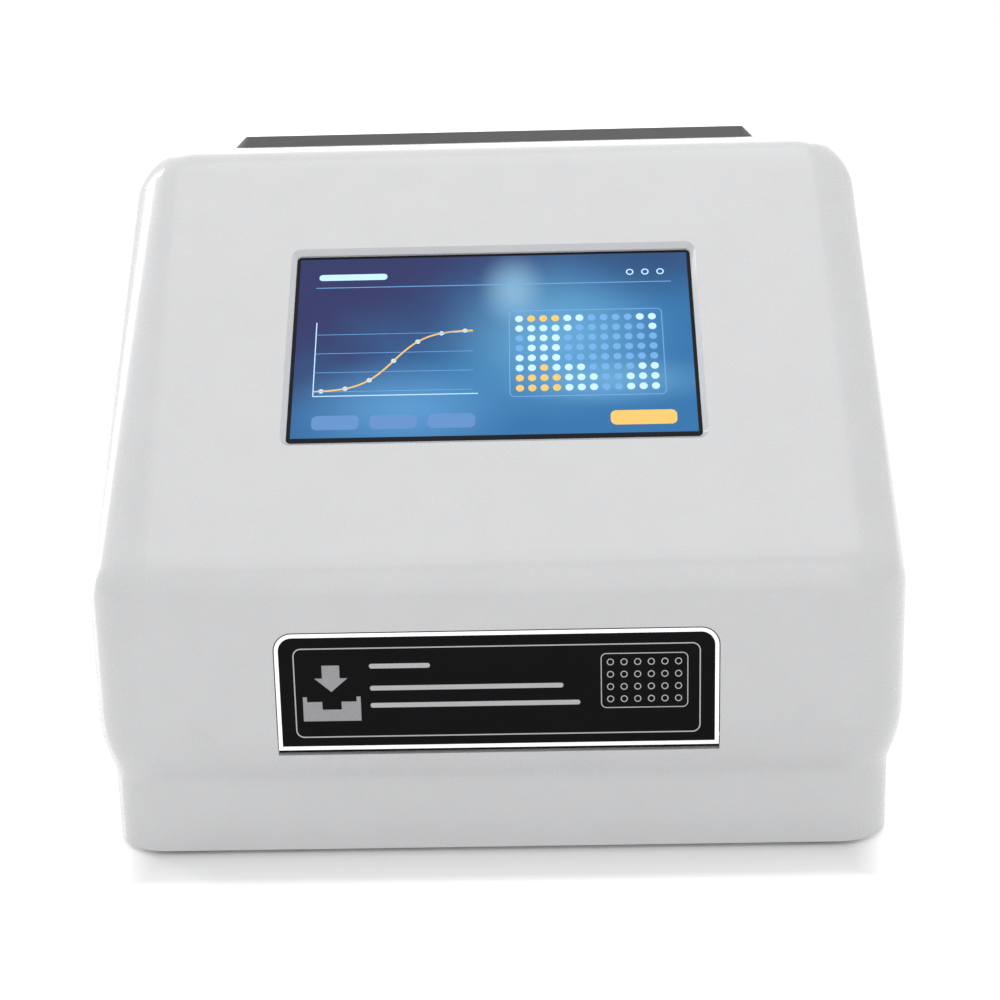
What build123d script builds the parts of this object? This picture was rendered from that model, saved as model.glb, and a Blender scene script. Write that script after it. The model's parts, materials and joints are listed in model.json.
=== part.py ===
from build123d import *
import math
import os

# Microplate reader, millimetres. Front towards -Y, right towards +X, up +Z,
# origin on the floor under the middle of the housing.

# Housing form
width = 302.0
depth = 340.0
wall = 3.0
floor_gap = 1.5
front_height = 107.5
slope_angle = 44.0
crest_run = 148.2
deck_fall = 3.5
crease_radius = 27.0
crest_radius = 27.0
rear_radius = 28.0
side_radius = 26.0
step_low = 27.0
step_high = 52.0
step_in = 5.0
step_upper_share = 0.8
form_below = 40.0
trim_size = 600.0
cut_over = 1.0

# Housing details
boss_radius = 4.0
boss_bore = 1.4
boss_beside = 0.5
skirt_boss = (9.0, 16.0, 14.0)
skirt_boss_x = 76.0
skirt_boss_end = 78.0
rear_window_side = 39.0
rear_window_low = 56.0
rear_window_high = 204.0
rear_window_corner = 6.0

# Base plate and feet
base_low = 4.0
base_sheet = 2.0
base_gap = 0.4
base_slot = (60.0, 4.0)
base_slot_x = 40.0
base_slot_pitch = 11.0
base_slot_rows = 6
foot_radius = 10.0
foot_spigot = 4.0
foot_side = 33.0
foot_end = 32.0
foot_edge = 1.2

# Service cover on the deck
cover_side = 40.5
cover_front = 18.0
cover_rear = 57.8
cover_corner = 8.0
cover_lap_x = 20.0
cover_lap_y = 16.0
cover_rise = 4.6
cover_skin = 1.8
cover_bevel = 45.0
cover_border = 9.2
cover_inner_corner = 2.0
cover_rim = 3.0
cover_rim_gap = 0.4
cover_slot = (34.0, 3.0)
cover_slot_x = 44.0
cover_slot_pitch = 9.0
cover_slot_edge = 8.0

# Display
display_low = 60.0
display_width = 156.3
display_height = 89.5
display_corner = 2.0
display_bevel = 2.0
glass_over = 3.0
glass_thick = 1.8
lcd_shrink = 2.0
lcd_thick = 5.0
lcd_recess_in = 5.0
lcd_recess = 0.5
bracket_over = 6.0
bracket_edge = 1.0
bracket_sheet = 1.2
bracket_band_x = 60.0
bracket_band_y = 15.0
bracket_corner = 4.0
display_boss_in = 5.0
display_board_size = (112.0, 66.0)
board_thick = 1.6
display_standoff = 5.0
standoff_radius = 2.5
standoff_in = 4.0
display_chip = (22.0, 22.0, 2.0)
display_chip_x = (-26.0, 20.0)

# Door opening and flap
door_half = 80.5
door_low = 40.6
door_high = 88.0
door_corner = 6.9
door_gap = 0.4
flap_bottom_gap = 2.5
flap_back = 3.2
flap_skin = 1.8
rim_width = 1.45
label_sink = 0.2
hinge_behind = 3.5
hinge_above = 2.5
lug_radius = 2.0
lug_in = 6.5
lug_width = 6.0
pin_radius = 1.0
pin_end = 0.5
running_gap = 0.05
frame_beside = 9.5
frame_over = 7.0
frame_low = 40.3
frame_corner = 9.0
frame_thick = 2.5
frame_lip = 3.5
flap_seat_gap = 0.3
lip_from = 51.0
cheek_high = 56.0
cheek_deep = 9.0
sill_high = 48.0
sill_thick = 3.8

# Plate, carrier and carriage
plate_long = 127.76
plate_short = 85.48
nest_gap = 0.7
ledge = 4.0
carrier_wall = 5.0
carrier_tip = -59.5
carrier_nose = 12.0
carrier_under = 56.0
carrier_seat = 60.0
carrier_top = 66.5
nose_rise = 6.0
carrier_corner = 6.0
finger_radius = 14.0
finger_above = 1.0
tongue_half = 40.0
tongue_lap = 2.0
flag_beside = 17.0
flag_thick = 2.0
flag_length = 8.0
flag_drop = 14.0
spring_width = 30.0
spring_thick = 0.6
spring_above = 1.0
carriage_end = 60.0
carriage_length = 30.0
carriage_top = 66.0
housing_half = 7.5
housing_chamfer = 2.5
rod_radius = 4.0
rod_beside = 9.42
rod_z_at = 52.0
bush_wall = 1.0
rod_front_gap = 14.0
rod_rear_gap = 45.0
rod_block = 8.0
rod_block_top = 60.0

# Belt drive
pulley_radius = 8.0
flange_radius = 10.5
flange_thick = 1.0
belt_gap = 0.3
belt_thick = 1.2
belt_width = 6.0
belt_beside = 6.5
belt_side_gap = 0.5
drive_rear_gap = 43.0
idler_front_gap = 24.0
clamp_behind = 6.0
clamp_length = 14.0
clamp_past_belt = 2.5
clamp_jaw = 4.0
clamp_back_gap = 0.6
shaft_radius = 2.5
motor_square = 42.3
motor_end_gap = 9.0
motor_chamfer = 4.0
motor_pilot = 11.0
motor_pilot_long = 2.0
bracket_thick = 3.0
bracket_beside = 1.0
bracket_foot = 14.0
idler_pin = 2.0
idler_bracket_y = 11.0
idler_bracket_top = 62.0

# Mechanism plate, pillars and optics
mech_low = 26.0
mech_high = 30.0
mech_beside = 11.0
mech_front_gap = 12.0
mech_rear_gap = 40.0
mech_window = (100.0, 92.0)
mech_window_y = 42.0
pillar_radius = 5.0
pillar_side_in = 8.0
pillar_front_in = 23.0
pillar_rear_in = 30.0
optic_y = -40.0
optic_pitch = 9.0
optic_count = 12
bridge_beside = 1.0
bridge_leg = 6.0
bridge_foot = 10.0
bridge_foot_thick = 4.0
bridge_length = 40.0
bridge_under = 84.0
bridge_beam = 12.0
bridge_edge = 5.0
bridge_pocket = 6.0
bridge_pocket_length = 10.0
bridge_pocket_off = 11.0
barrel_radius = 3.0
barrel_low = 79.0
barrel_high = 100.0
barrel_flange = 4.0
barrel_flange_thick = 2.0
detector_edge = 4.0
detector_length = 30.0
detector_post = 4.0
detector_block_length = 14.0
detector_block_top = 50.0
detector_eye = 2.5
detector_eye_deep = 3.0
sensor_width = 10.0
sensor_slot = 4.0
sensor_length = 14.0
sensor_high = 50.0
sensor_floor = 38.0
sensor_past = 1.0

# Shelf with the light source
shelf_low = 118.0
shelf_sheet = 3.0
shelf_side = 9.0
shelf_front = -5.0
shelf_end = 8.0
shelf_corner = 12.0
shelf_post_side = 14.5
shelf_post_front = 21.0
shelf_post_rear = 25.0
shelf_post_before_motor = 49.0
beam_x = -40.0
beam_z = 160.0
wheel_radius = 33.0
wheel_pitch = 24.0
wheel_thick = 6.0
wheel_before_lamp = 40.0
wheel_count = 8
wheel_hub = 7.0
wheel_hub_long = 4.0
wheel_hub_back = 1.0
wheel_shaft = 2.0
filter_radius = 6.35
filter_thick = 3.0
wheel_motor = 28.0
wheel_motor_long = 24.0
wheel_motor_chamfer = 3.0
wheel_plate_before_lamp = 30.0
wheel_plate = 2.0
wheel_plate_foot = 14.0
collar_half = 15.0
collar_before_lamp = 60.0
collar_length = 12.0
collar_high = 168.0
collar_chamfer = 3.0
fibre_radius = 0.8
fibre_pitch = 2.1
fibre_runs = 6
fibre_straight = 4.0
lamp_half = 30.0
lamp_end = 24.0
lamp_length = 36.0
lamp_high = 196.0
lamp_wall = 2.0
lamp_slot = (3.0, 24.0)
lamp_slot_pitch = 8.0
lamp_slot_count = 5
lens_barrel_radius = 10.0
lens_barrel_long = 27.0
lens_radius = 8.0
lens_thick = 4.0
lens_edge = 2.0
lens_before_lamp = 14.0
lens_foot = (6.0, 8.0)
lens_foot_lap = 1.0
socket_radius = 9.0
socket_high = 146.0
bulb_radius = 5.0
bulb_tip = 4.5
bulb_high = 172.0

# Electronics
psu_side = 29.0
psu_width = 78.0
psu_front = 20.0
psu_end = 38.0
psu_high = 38.0
psu_sheet = 1.5
psu_corner = 2.0
psu_slot = (3.0, 50.0)
psu_slot_pitch = 8.0
psu_slot_count = 6
main_low = 103.0
main_left = -90.0
main_right = 64.0
main_front = 14.0
main_end = 10.0
main_post_in = 6.0
main_post_rear = 20.0
chips = ((50.0, 46.0, 24.0, 24.0, 2.5), (100.0, 66.0, 14.0, 20.0, 3.0), (120.0, 26.0, 12.0, 12.0, 9.0))
header_size = (30.0, 6.0, 8.0)
header_places = (50.0, 100.0)
header_in = 8.0

# Rear panel and what it carries
panel_lap = 8.0
panel_lap_low = 3.0
panel_sheet = 2.0
panel_slot = (4.0, 40.0)
panel_slot_pitch = 10.0
panel_slot_count = 6
panel_slot_x = 30.0
panel_slot_z = 170.0
grille_bar = 2.5
grille_bars = 3
grille_ring = (17.7, 20.5)
grille_lip = 1.0
fan_square = 60.0
fan_corner = 4.0
fan_deep = 15.0
fan_bore = 28.5
fan_tip = 27.3
fan_hub = 13.0
fan_hub_wall = 1.5
fan_stator = 12.5
fan_stator_thick = 2.5
fan_strut = 4.0
fan_struts = 3
fan_boss = 4.0
fan_boss_from = 4.0
fan_shaft = 1.5
fan_axial_gap = 0.8
fan_blades = 7
fan_blade_thick = 1.6
fan_root_angle = 45.0
fan_tip_angle = 62.0
fan_root_chord = 11.5
fan_tip_chord = 13.8
inlet_x = 62.0
inlet_z = 80.0
inlet_flange = (31.0, 46.0)
inlet_corner = 3.0
inlet_body = (27.0, 40.0)
inlet_deep = 26.0
inlet_border = 2.0
flange_out = 2.5
socket_size = (24.0, 16.0)
socket_cut = 4.0
socket_deep = 17.0
blade_size = (2.0, 4.0, 12.0)
blade_places = ((-6.0, -2.0), (6.0, -2.0), (0.0, 2.5))
fuse_size = (20.0, 8.0)
fuse_deep = 18.0
fuse_gap = 0.3
fuse_grip = (10.0, 2.2, 1.5)
fuse_grip_up = 1.0
switch_x = 14.0
switch_z = 80.0
switch_outer = (19.0, 26.0)
switch_corner = 2.0
switch_inner = (14.0, 21.0)
switch_wall = 1.0
switch_deep = 16.0
switch_hollow = 8.0
rocker_gap = 0.5
rocker_axis_in = 3.0
rocker_pin = 1.0
rocker_tilt = 8.0
rocker_out = 1.2
rocker_crown = 1.6
rocker_in = 1.5
rocker_belly = 2.6
rocker_edge = 1.5
usb_x = -20.0
usb_size = (12.0, 11.0)
usb_hole = (8.5, 7.8)
usb_tongue = (5.5, 3.3)
usb_tongue_in = 3.0
port_deep = 18.0
port_floor = 4.0
port_in = 1.0
serial_x = -62.0
serial_size = (31.0, 12.5)
serial_shell = (18.0, 9.0)
serial_corner = 2.0
serial_wall = 0.8
serial_cup = 6.0
serial_pin = 0.5
serial_pitch = 2.77
serial_rows = (1.5, -1.5)
serial_counts = (5, 4)

# Derived places
half_w = width / 2
half_d = depth / 2
front_y = -half_d
crest_y = front_y + crest_run
crest_z = front_height + crest_run * math.tan(math.radians(slope_angle))
rear_z = crest_z - (half_d - crest_y) * math.tan(math.radians(deck_fall))
slope_sin = math.sin(math.radians(slope_angle))
slope_cos = math.cos(math.radians(slope_angle))
fall_sin = math.sin(math.radians(deck_fall))
fall_cos = math.cos(math.radians(deck_fall))
slope = Plane(origin=(0, front_y, front_height), x_dir=(1, 0, 0), z_dir=(0, -slope_sin, slope_cos))
deck = Plane(origin=(0, crest_y, crest_z), x_dir=(1, 0, 0), z_dir=(0, fall_sin, fall_cos))
front_inner = front_y + wall
rear_inner = half_d - wall
panel_front = rear_inner - panel_sheet
rear_window_half = half_w - rear_window_side
base_top = base_low + base_sheet
foot_x = half_w - foot_side
foot_y = half_d - foot_end
cover_width = width - 2 * cover_side
cover_length = depth - crest_run - cover_front - cover_rear
deck_opening = (cover_width - 2 * cover_lap_x, cover_length - 2 * cover_lap_y)
cover_slot_count = int((deck_opening[1] - 2 * cover_slot_edge) / cover_slot_pitch)
display_mid = display_low + display_height / 2
display_boss_x = display_width / 2 + glass_over + boss_radius + boss_beside
glass_back = wall + glass_thick
lcd_back = glass_back + lcd_thick
bracket_back = lcd_back + bracket_sheet
hinge_y = front_y + hinge_behind
flap_low = door_low + flap_bottom_gap
flap_high = door_high - door_gap
flap_half = door_half - door_gap
flap_back_y = front_y + flap_back
flap_layer_y = flap_back_y - flap_skin
hinge_z = flap_low + hinge_above
lug_inner = door_half - lug_in
frame_half = door_half + frame_beside
frame_high = door_high + frame_over
nest_long = plate_long + 2 * nest_gap
nest_short = plate_short + 2 * nest_gap
carrier_half = nest_long / 2 + carrier_wall
nest_front = carrier_tip + carrier_nose
nest_rear = nest_front + nest_short
carrier_back = nest_rear + carrier_wall
carriage_rear = half_d - carriage_end
carriage_front = carriage_rear - carriage_length
rod_x_at = carrier_half + rod_beside
rod_front = front_y + rod_front_gap
rod_rear = half_d - rod_rear_gap
carriage_half = rod_x_at + housing_half
bush_radius = rod_radius + bush_wall
flag_x = rod_x_at - flag_beside
belt_x = carriage_half + belt_beside
belt_inner = pulley_radius + belt_gap
belt_outer = belt_inner + belt_thick
belt_left = belt_x - belt_width / 2
belt_right = belt_x + belt_width / 2
pulley_half = belt_width / 2 + belt_side_gap
drive_y = half_d - drive_rear_gap
idler_y = front_y + idler_front_gap
clamp_end = belt_right + clamp_past_belt
clamp_rear = carriage_rear - clamp_behind
bracket_inner = belt_x + pulley_half + flange_thick + bracket_beside
motor_face = bracket_inner + bracket_thick
motor_long = half_w - wall - motor_end_gap - motor_face
shaft_end = motor_face + motor_long / 2
mech_half = rod_x_at + mech_beside
mech_front = front_y + mech_front_gap
mech_rear = half_d - mech_rear_gap
bridge_leg_in = clamp_end + bridge_beside
bridge_top = bridge_under + bridge_beam
detector_half = optic_count * optic_pitch / 2 + detector_edge
shelf_high = shelf_low + shelf_sheet
shelf_half = half_w - shelf_side
shelf_rear = half_d - shelf_end
shelf_post_x = half_w - shelf_post_side
lamp_rear = half_d - lamp_end
lamp_front = lamp_rear - lamp_length
lamp_mid = (lamp_front + lamp_rear) / 2
wheel_front = lamp_front - wheel_before_lamp
wheel_back = wheel_front + wheel_thick
wheel_plate_front = lamp_front - wheel_plate_before_lamp
wheel_motor_front = wheel_plate_front + wheel_plate
wheel_x = beam_x + wheel_pitch
collar_front = lamp_front - collar_before_lamp
lens_at = lamp_front - lens_before_lamp
psu_right = half_w - psu_side
psu_left = psu_right - psu_width
psu_rear = half_d - psu_end
psu_top = shelf_high + psu_high
main_high = main_low + board_thick
main_rear = half_d - main_end
panel_half = rear_window_half + panel_lap
panel_low = rear_window_low - panel_lap_low
panel_high = rear_window_high + panel_lap
fan_front = panel_front - fan_deep
plate_out = rear_inner + flange_out
socket_z = inlet_z - inlet_body[1] / 2 + inlet_border + socket_size[1] / 2
fuse_z = inlet_z + inlet_body[1] / 2 - inlet_border - fuse_size[1] / 2
rocker_y = plate_out - rocker_axis_in
port_out = half_d - port_in


def block(x0, x1, y0, y1, z0, z1):
    return Pos((x0 + x1) / 2, (y0 + y1) / 2, (z0 + z1) / 2) * Box(x1 - x0, y1 - y0, z1 - z0)


def bar_x(radius, x0, x1, y, z):
    return Pos((x0 + x1) / 2, y, z) * Rot(0, 90, 0) * Cylinder(radius, x1 - x0)


def bar_y(radius, y0, y1, x, z):
    return Pos(x, (y0 + y1) / 2, z) * Rot(90, 0, 0) * Cylinder(radius, y1 - y0)


def bar_z(radius, z0, z1, x, y):
    return Pos(x, y, (z0 + z1) / 2) * Cylinder(radius, z1 - z0)


def slab_y(sketch, y0, y1):
    return extrude(Plane.XZ.offset(-y1) * sketch, amount=y1 - y0)


def both_sides(shape):
    return shape + mirror(shape, about=Plane.YZ)


def on_slope(x, up, out, shape):
    return slope.location * Pos(x, up, out) * shape


def on_deck(x, back, out, shape):
    return deck.location * Pos(x, back, out) * shape


def top_rounded(half, low, high, radius):
    face = Pos(0, (low + high) / 2) * Rectangle(2 * half, high - low)
    return fillet(face.vertices().sort_by(Axis.Y)[-2:], radius)


def nearest(shape, y, z):
    return min(shape.vertices(), key=lambda v: (v.Y - y) ** 2 + (v.Z - z) ** 2)


def side_outline(inset):
    # Front, slope, deck and back as seen from the side, its three upper corners rounded.
    face = Plane.YZ * Polygon(
        (front_y, -form_below),
        (front_y, front_height),
        (crest_y, crest_z),
        (half_d, rear_z),
        (half_d, -form_below),
        align=None,
    )
    if inset:
        face = offset(face, -inset, kind=Kind.INTERSECTION)
    for y, z, radius in (
        (front_y, front_height, crease_radius),
        (crest_y, crest_z, crest_radius),
        (half_d, rear_z, rear_radius),
    ):
        face = fillet([nearest(face, y, z)], radius - inset)
    return face


def step_profile(edge_x, reach):
    # A wide arc that turns the wall inwards and a tight one that meets the skirt, closed towards the inside.
    rise = step_high - step_low
    turn = 2 * math.atan(step_in / rise)
    upper_radius = step_upper_share * rise / math.sin(turn)
    lower_radius = (1 - step_upper_share) * rise / math.sin(turn)
    low_x = edge_x - step_in

    def on_upper(angle):
        return (edge_x - upper_radius * (1 - math.cos(angle)), step_high - upper_radius * math.sin(angle))

    def on_lower(angle):
        return (low_x + lower_radius * (1 - math.cos(angle)), step_low + lower_radius * math.sin(angle))

    upper = ThreePointArc((edge_x, step_high), on_upper(turn / 2), on_upper(turn))
    lower = ThreePointArc(on_lower(turn), on_lower(turn / 2), (low_x, step_low))
    back = Polyline(
        (low_x, step_low),
        (edge_x - reach, step_low),
        (edge_x - reach, step_high),
        (edge_x, step_high),
    )
    return Plane.XZ * make_face(Curve() + [upper, lower, back])


def plan_path(half_x, half_y, radius):
    # The plan outline as one wire that starts where the step profile stands.
    x = half_x - radius
    y = half_y - radius
    pieces = [Line((half_x, 0), (half_x, y))]
    pieces.append(CenterArc((x, y), radius, 0, 90))
    pieces.append(Line((x, half_y), (-x, half_y)))
    pieces.append(CenterArc((-x, y), radius, 90, 90))
    pieces.append(Line((-half_x, y), (-half_x, -y)))
    pieces.append(CenterArc((-x, -y), radius, 180, 90))
    pieces.append(Line((-x, -half_y), (x, -half_y)))
    pieces.append(CenterArc((x, -y), radius, 270, 90))
    pieces.append(Line((half_x, -y), (half_x, 0)))
    return Wire([edge for piece in pieces for edge in piece.edges()])


def housing_form(inset):
    half_x = half_w - inset
    half_y = half_d - inset
    radius = side_radius - inset
    reach = step_in + 2 * wall
    solid = extrude(side_outline(inset), half_x, both=True)
    rims = [e for f in solid.faces().filter_by(Axis.X) for e in f.edges()]
    rims = [e for e in rims if e.center().Z > cut_over - form_below]
    solid = fillet(rims, radius)
    upper = solid & Pos(0, 0, step_high + trim_size / 2) * Box(trim_size, trim_size, trim_size)
    ring = sweep(step_profile(half_x, reach), path=plan_path(half_x, half_y, radius))
    core_plan = RectangleRounded(2 * (half_x - reach), 2 * (half_y - reach), radius - reach)
    core = extrude(Pos(0, 0, step_low) * core_plan, step_high - step_low)
    skirt_plan = RectangleRounded(2 * (half_x - step_in), 2 * (half_y - step_in), radius - step_in)
    skirt = extrude(Pos(0, 0, step_low) * skirt_plan, -form_below - step_low)
    return upper + ring + core + skirt


def display_cut():
    hole = RectangleRounded(display_width, display_height, display_corner)
    wide = RectangleRounded(
        display_width + 2 * display_bevel,
        display_height + 2 * display_bevel,
        display_corner + display_bevel,
    )
    through = on_slope(0, display_mid, -2 * wall, extrude(hole, 4 * wall))
    bevel = loft([Pos(0, 0, -display_bevel) * hole, wide])
    return through + on_slope(0, display_mid, 0, bevel)


def display_bosses():
    bosses = []
    for side in (-1, 1):
        for up in (-1, 1):
            place = display_mid + up * (display_height / 2 - display_boss_in)
            ring = Cylinder(boss_radius, lcd_back - wall) - Cylinder(boss_bore, lcd_back)
            bosses.append(on_slope(side * display_boss_x, place, -(lcd_back + wall) / 2, ring))
    return bosses


def skirt_bosses():
    # Square pads inside the skirt that the base plate is screwed to.
    deep, long, high = skirt_boss
    side = half_w - step_in - wall
    end = half_d - step_in - wall
    middle = base_top + high / 2
    pads = []
    for sx in (-1, 1):
        for y in (skirt_boss_end - half_d, 0, half_d - skirt_boss_end):
            pads.append(Pos(sx * (side - deep / 2), y, middle) * Box(deep, long, high))
        for sy in (-1, 1):
            pads.append(Pos(sx * skirt_boss_x, sy * (end - deep / 2), middle) * Box(long, deep, high))
    return pads


def pin_bore(radius, end):
    return both_sides(bar_x(radius, lug_inner - pin_end, end, hinge_y, hinge_z))


def top_cover():
    shell = housing_form(0) - housing_form(wall)
    shell = shell & Pos(0, 0, floor_gap + trim_size / 2) * Box(trim_size, trim_size, trim_size)
    shell = shell - display_cut()
    doorway = top_rounded(door_half, door_low, door_high, door_corner)
    shell = shell - slab_y(doorway, front_y - wall, front_inner + wall)
    window = Pos(0, (rear_window_low + rear_window_high) / 2) * RectangleRounded(
        2 * rear_window_half, rear_window_high - rear_window_low, rear_window_corner
    )
    shell = shell - slab_y(window, rear_inner - wall, half_d + wall)
    opening = extrude(RectangleRounded(*deck_opening, cover_corner), 4 * wall)
    shell = shell - on_deck(0, cover_front + cover_length / 2, -2 * wall, opening)
    for piece in display_bosses() + skirt_bosses():
        shell = shell + piece
    return shell - pin_bore(pin_radius, frame_half)


def base_plate():
    side = half_w - step_in - wall - base_gap
    end = half_d - step_in - wall - base_gap
    outline = RectangleRounded(2 * side, 2 * end, side_radius - step_in - wall)
    plate = extrude(Pos(0, 0, base_low) * outline, base_sheet)
    slot = extrude(SlotOverall(*base_slot), base_sheet + 2 * cut_over)
    for sx in (-1, 1):
        for sy in (-1, 1):
            plate = plate - bar_z(foot_spigot, base_low - cut_over, base_top + cut_over, sx * foot_x, sy * foot_y)
        for row in range(base_slot_rows):
            y = (row - (base_slot_rows - 1) / 2) * base_slot_pitch
            plate = plate - Pos(sx * base_slot_x, y, base_low - cut_over) * slot
    return plate


def rubber_feet():
    feet = []
    pad = bar_z(foot_radius, 0, base_low, 0, 0)
    pad = chamfer(pad.edges().group_by(Axis.Z)[0], foot_edge)
    foot = pad + bar_z(foot_spigot, base_low, base_top, 0, 0)
    for sx in (-1, 1):
        for sy in (-1, 1):
            feet.append(Pos(sx * foot_x, sy * foot_y, 0) * foot)
    return Compound(feet)


def service_cover():
    middle = cover_front + cover_length / 2
    cover = extrude(RectangleRounded(cover_width, cover_length, cover_corner), cover_rise, taper=cover_bevel)
    hollow = RectangleRounded(cover_width - 2 * cover_border, cover_length - 2 * cover_border, cover_inner_corner)
    cover = cover - extrude(hollow, cover_rise - cover_skin)
    rim_x = deck_opening[0] - 2 * cover_rim_gap
    rim_y = deck_opening[1] - 2 * cover_rim_gap
    rim_corner = cover_corner - cover_rim_gap
    rim = RectangleRounded(rim_x, rim_y, rim_corner) - RectangleRounded(
        rim_x - 2 * cover_skin, rim_y - 2 * cover_skin, rim_corner - cover_skin
    )
    cover = cover + Pos(0, 0, -cover_rim) * extrude(rim, cover_rim + cover_rise - cover_skin / 2)
    slot = extrude(SlotOverall(*cover_slot), 2 * cover_rise)
    for side in (-1, 1):
        for number in range(cover_slot_count):
            y = (number - (cover_slot_count - 1) / 2) * cover_slot_pitch
            cover = cover - Pos(side * cover_slot_x, y, 0) * slot
    return on_deck(0, middle, 0, cover)


def display_glass():
    sheet = RectangleRounded(display_width + 2 * glass_over, display_height + 2 * glass_over, display_corner)
    return on_slope(0, display_mid, -glass_back, extrude(sheet, glass_thick))


def lcd_module():
    box_x = display_width + 2 * glass_over - lcd_shrink
    box_y = display_height + 2 * glass_over - lcd_shrink
    module = Box(box_x, box_y, lcd_thick)
    recess = Box(box_x - 2 * lcd_recess_in, box_y - 2 * lcd_recess_in, 2 * lcd_recess)
    module = module - Pos(0, 0, -lcd_thick / 2) * recess
    return on_slope(0, display_mid, -(glass_back + lcd_back) / 2, module)


def display_bracket():
    size_x = 2 * (display_boss_x + boss_radius + bracket_edge)
    size_y = display_height + 2 * bracket_over
    frame = RectangleRounded(size_x, size_y, bracket_corner)
    frame = frame - RectangleRounded(size_x - 2 * bracket_band_x, size_y - 2 * bracket_band_y, bracket_corner)
    posts = []
    for sx in (-1, 1):
        for sy in (-1, 1):
            hole_y = sy * (display_height / 2 - display_boss_in)
            frame = frame - Pos(sx * display_boss_x, hole_y) * Circle(boss_bore)
            post_x = sx * (display_board_size[0] / 2 - standoff_in)
            post_y = display_mid + sy * (display_board_size[1] / 2 - standoff_in)
            post = Cylinder(standoff_radius, display_standoff)
            posts.append(on_slope(post_x, post_y, -bracket_back - display_standoff / 2, post))
    return on_slope(0, display_mid, -bracket_back, extrude(frame, bracket_sheet)) + posts


def display_board():
    out = -(bracket_back + display_standoff + board_thick / 2)
    board = on_slope(0, display_mid, out, Box(*display_board_size, board_thick))
    chip_out = out - board_thick / 2 - display_chip[2] / 2
    for x in display_chip_x:
        board = board + on_slope(x, display_mid, chip_out, Box(*display_chip))
    return board


def door_frame():
    # Surround behind the wall that the flap shuts against, with its sill and hinge cheeks.
    opening = top_rounded(door_half, door_low - cut_over, door_high, door_corner)
    outer = top_rounded(frame_half, frame_low, frame_high, frame_corner)
    back = front_inner + frame_thick
    frame = slab_y(outer - opening, front_inner, back)
    lip = top_rounded(door_half, lip_from, door_high, door_corner)
    hole_corner = door_corner - frame_lip / 2
    hole = top_rounded(door_half - frame_lip, lip_from - cut_over, door_high - frame_lip, hole_corner)
    frame = frame + slab_y(lip - hole, flap_back_y + flap_seat_gap, back)
    sill_back = front_inner + cheek_deep
    frame = frame + both_sides(block(door_half, frame_half, front_inner, sill_back, frame_low, cheek_high))
    frame = frame + block(-frame_half, frame_half, sill_back - sill_thick, sill_back, frame_low, sill_high)
    return (frame & housing_form(wall)) - pin_bore(pin_radius, frame_half + cut_over)


def hinge_pins():
    return pin_bore(pin_radius, frame_half)


def flap_panel():
    plate = slab_y(top_rounded(flap_half, flap_low, flap_high, door_corner - door_gap), flap_layer_y, flap_back_y)
    plate = plate + both_sides(bar_x(lug_radius, lug_inner, lug_inner + lug_width, hinge_y, hinge_z))
    bore_end = lug_inner + lug_width + cut_over
    return plate - both_sides(bar_x(pin_radius + running_gap, lug_inner - cut_over, bore_end, hinge_y, hinge_z))


def label_outline():
    return top_rounded(
        flap_half - rim_width,
        flap_low + rim_width,
        flap_high - rim_width,
        door_corner - door_gap - rim_width,
    )


def flap_rim():
    outer = top_rounded(flap_half, flap_low, flap_high, door_corner - door_gap)
    return slab_y(outer - label_outline(), front_y, flap_layer_y)


def flap_label():
    return slab_y(label_outline(), front_y + label_sink, flap_layer_y)


def spring_seat():
    return block(
        -spring_width / 2, spring_width / 2,
        nest_rear, nest_rear + spring_thick,
        carrier_seat + spring_above, carrier_top,
    )


def plate_carrier():
    tray = block(-carrier_half, carrier_half, carrier_tip, carrier_back, carrier_under, carrier_top)
    tray = fillet(tray.edges().filter_by(Axis.Z), carrier_corner)
    over = carrier_top + cut_over
    tray = tray - block(-nest_long / 2, nest_long / 2, nest_front, nest_rear, carrier_seat, over)
    tray = tray - block(
        -nest_long / 2 + ledge, nest_long / 2 - ledge,
        nest_front + ledge, nest_rear - ledge,
        carrier_under - cut_over, over,
    )
    wedge = Plane.YZ * Polygon(
        (carrier_tip - cut_over, carrier_under - cut_over),
        (carrier_tip - cut_over, carrier_under + nose_rise),
        (carrier_tip, carrier_under + nose_rise),
        (carrier_tip + carrier_nose, carrier_under),
        (carrier_tip + carrier_nose, carrier_under - cut_over),
        align=None,
    )
    tray = tray - extrude(wedge, carrier_half + cut_over, both=True)
    grip_y = (nest_front + nest_rear) / 2
    grip_z = carrier_seat + finger_radius + finger_above
    tray = tray - bar_x(finger_radius, -carrier_half - cut_over, carrier_half + cut_over, grip_y, grip_z)
    tongue_end = carriage_rear + tongue_lap
    tongue_start = carrier_back - cut_over
    tray = tray + block(-tongue_half, tongue_half, tongue_start, tongue_end, carrier_under, carrier_seat)
    return tray - spring_seat()


def plate_spring():
    # Flat steel spring let into the wall behind the plate.
    return spring_seat()


def carriage():
    bridge = block(-carriage_half, carriage_half, carriage_front, carriage_rear, carrier_seat, carriage_top)
    leg = block(
        rod_x_at - housing_half, carriage_half,
        carriage_front, carriage_rear,
        rod_z_at - housing_half, carriage_top,
    )
    leg = chamfer(leg.edges().filter_by(Axis.Y).group_by(Axis.Z)[0], housing_chamfer)
    flag = block(
        flag_x - flag_thick / 2, flag_x + flag_thick / 2,
        carriage_rear - flag_length, carriage_rear,
        carrier_under - flag_drop, carrier_seat,
    )
    body = bridge + both_sides(leg) + flag
    bore = bar_y(bush_radius, carriage_front - cut_over, carriage_rear + cut_over, rod_x_at, rod_z_at)
    return body - both_sides(bore)


def slide_bushes():
    bush = bar_y(bush_radius, carriage_front, carriage_rear, rod_x_at, rod_z_at)
    radius = rod_radius + running_gap
    bore = bar_y(radius, carriage_front - cut_over, carriage_rear + cut_over, rod_x_at, rod_z_at)
    return both_sides(bush - bore)


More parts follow.
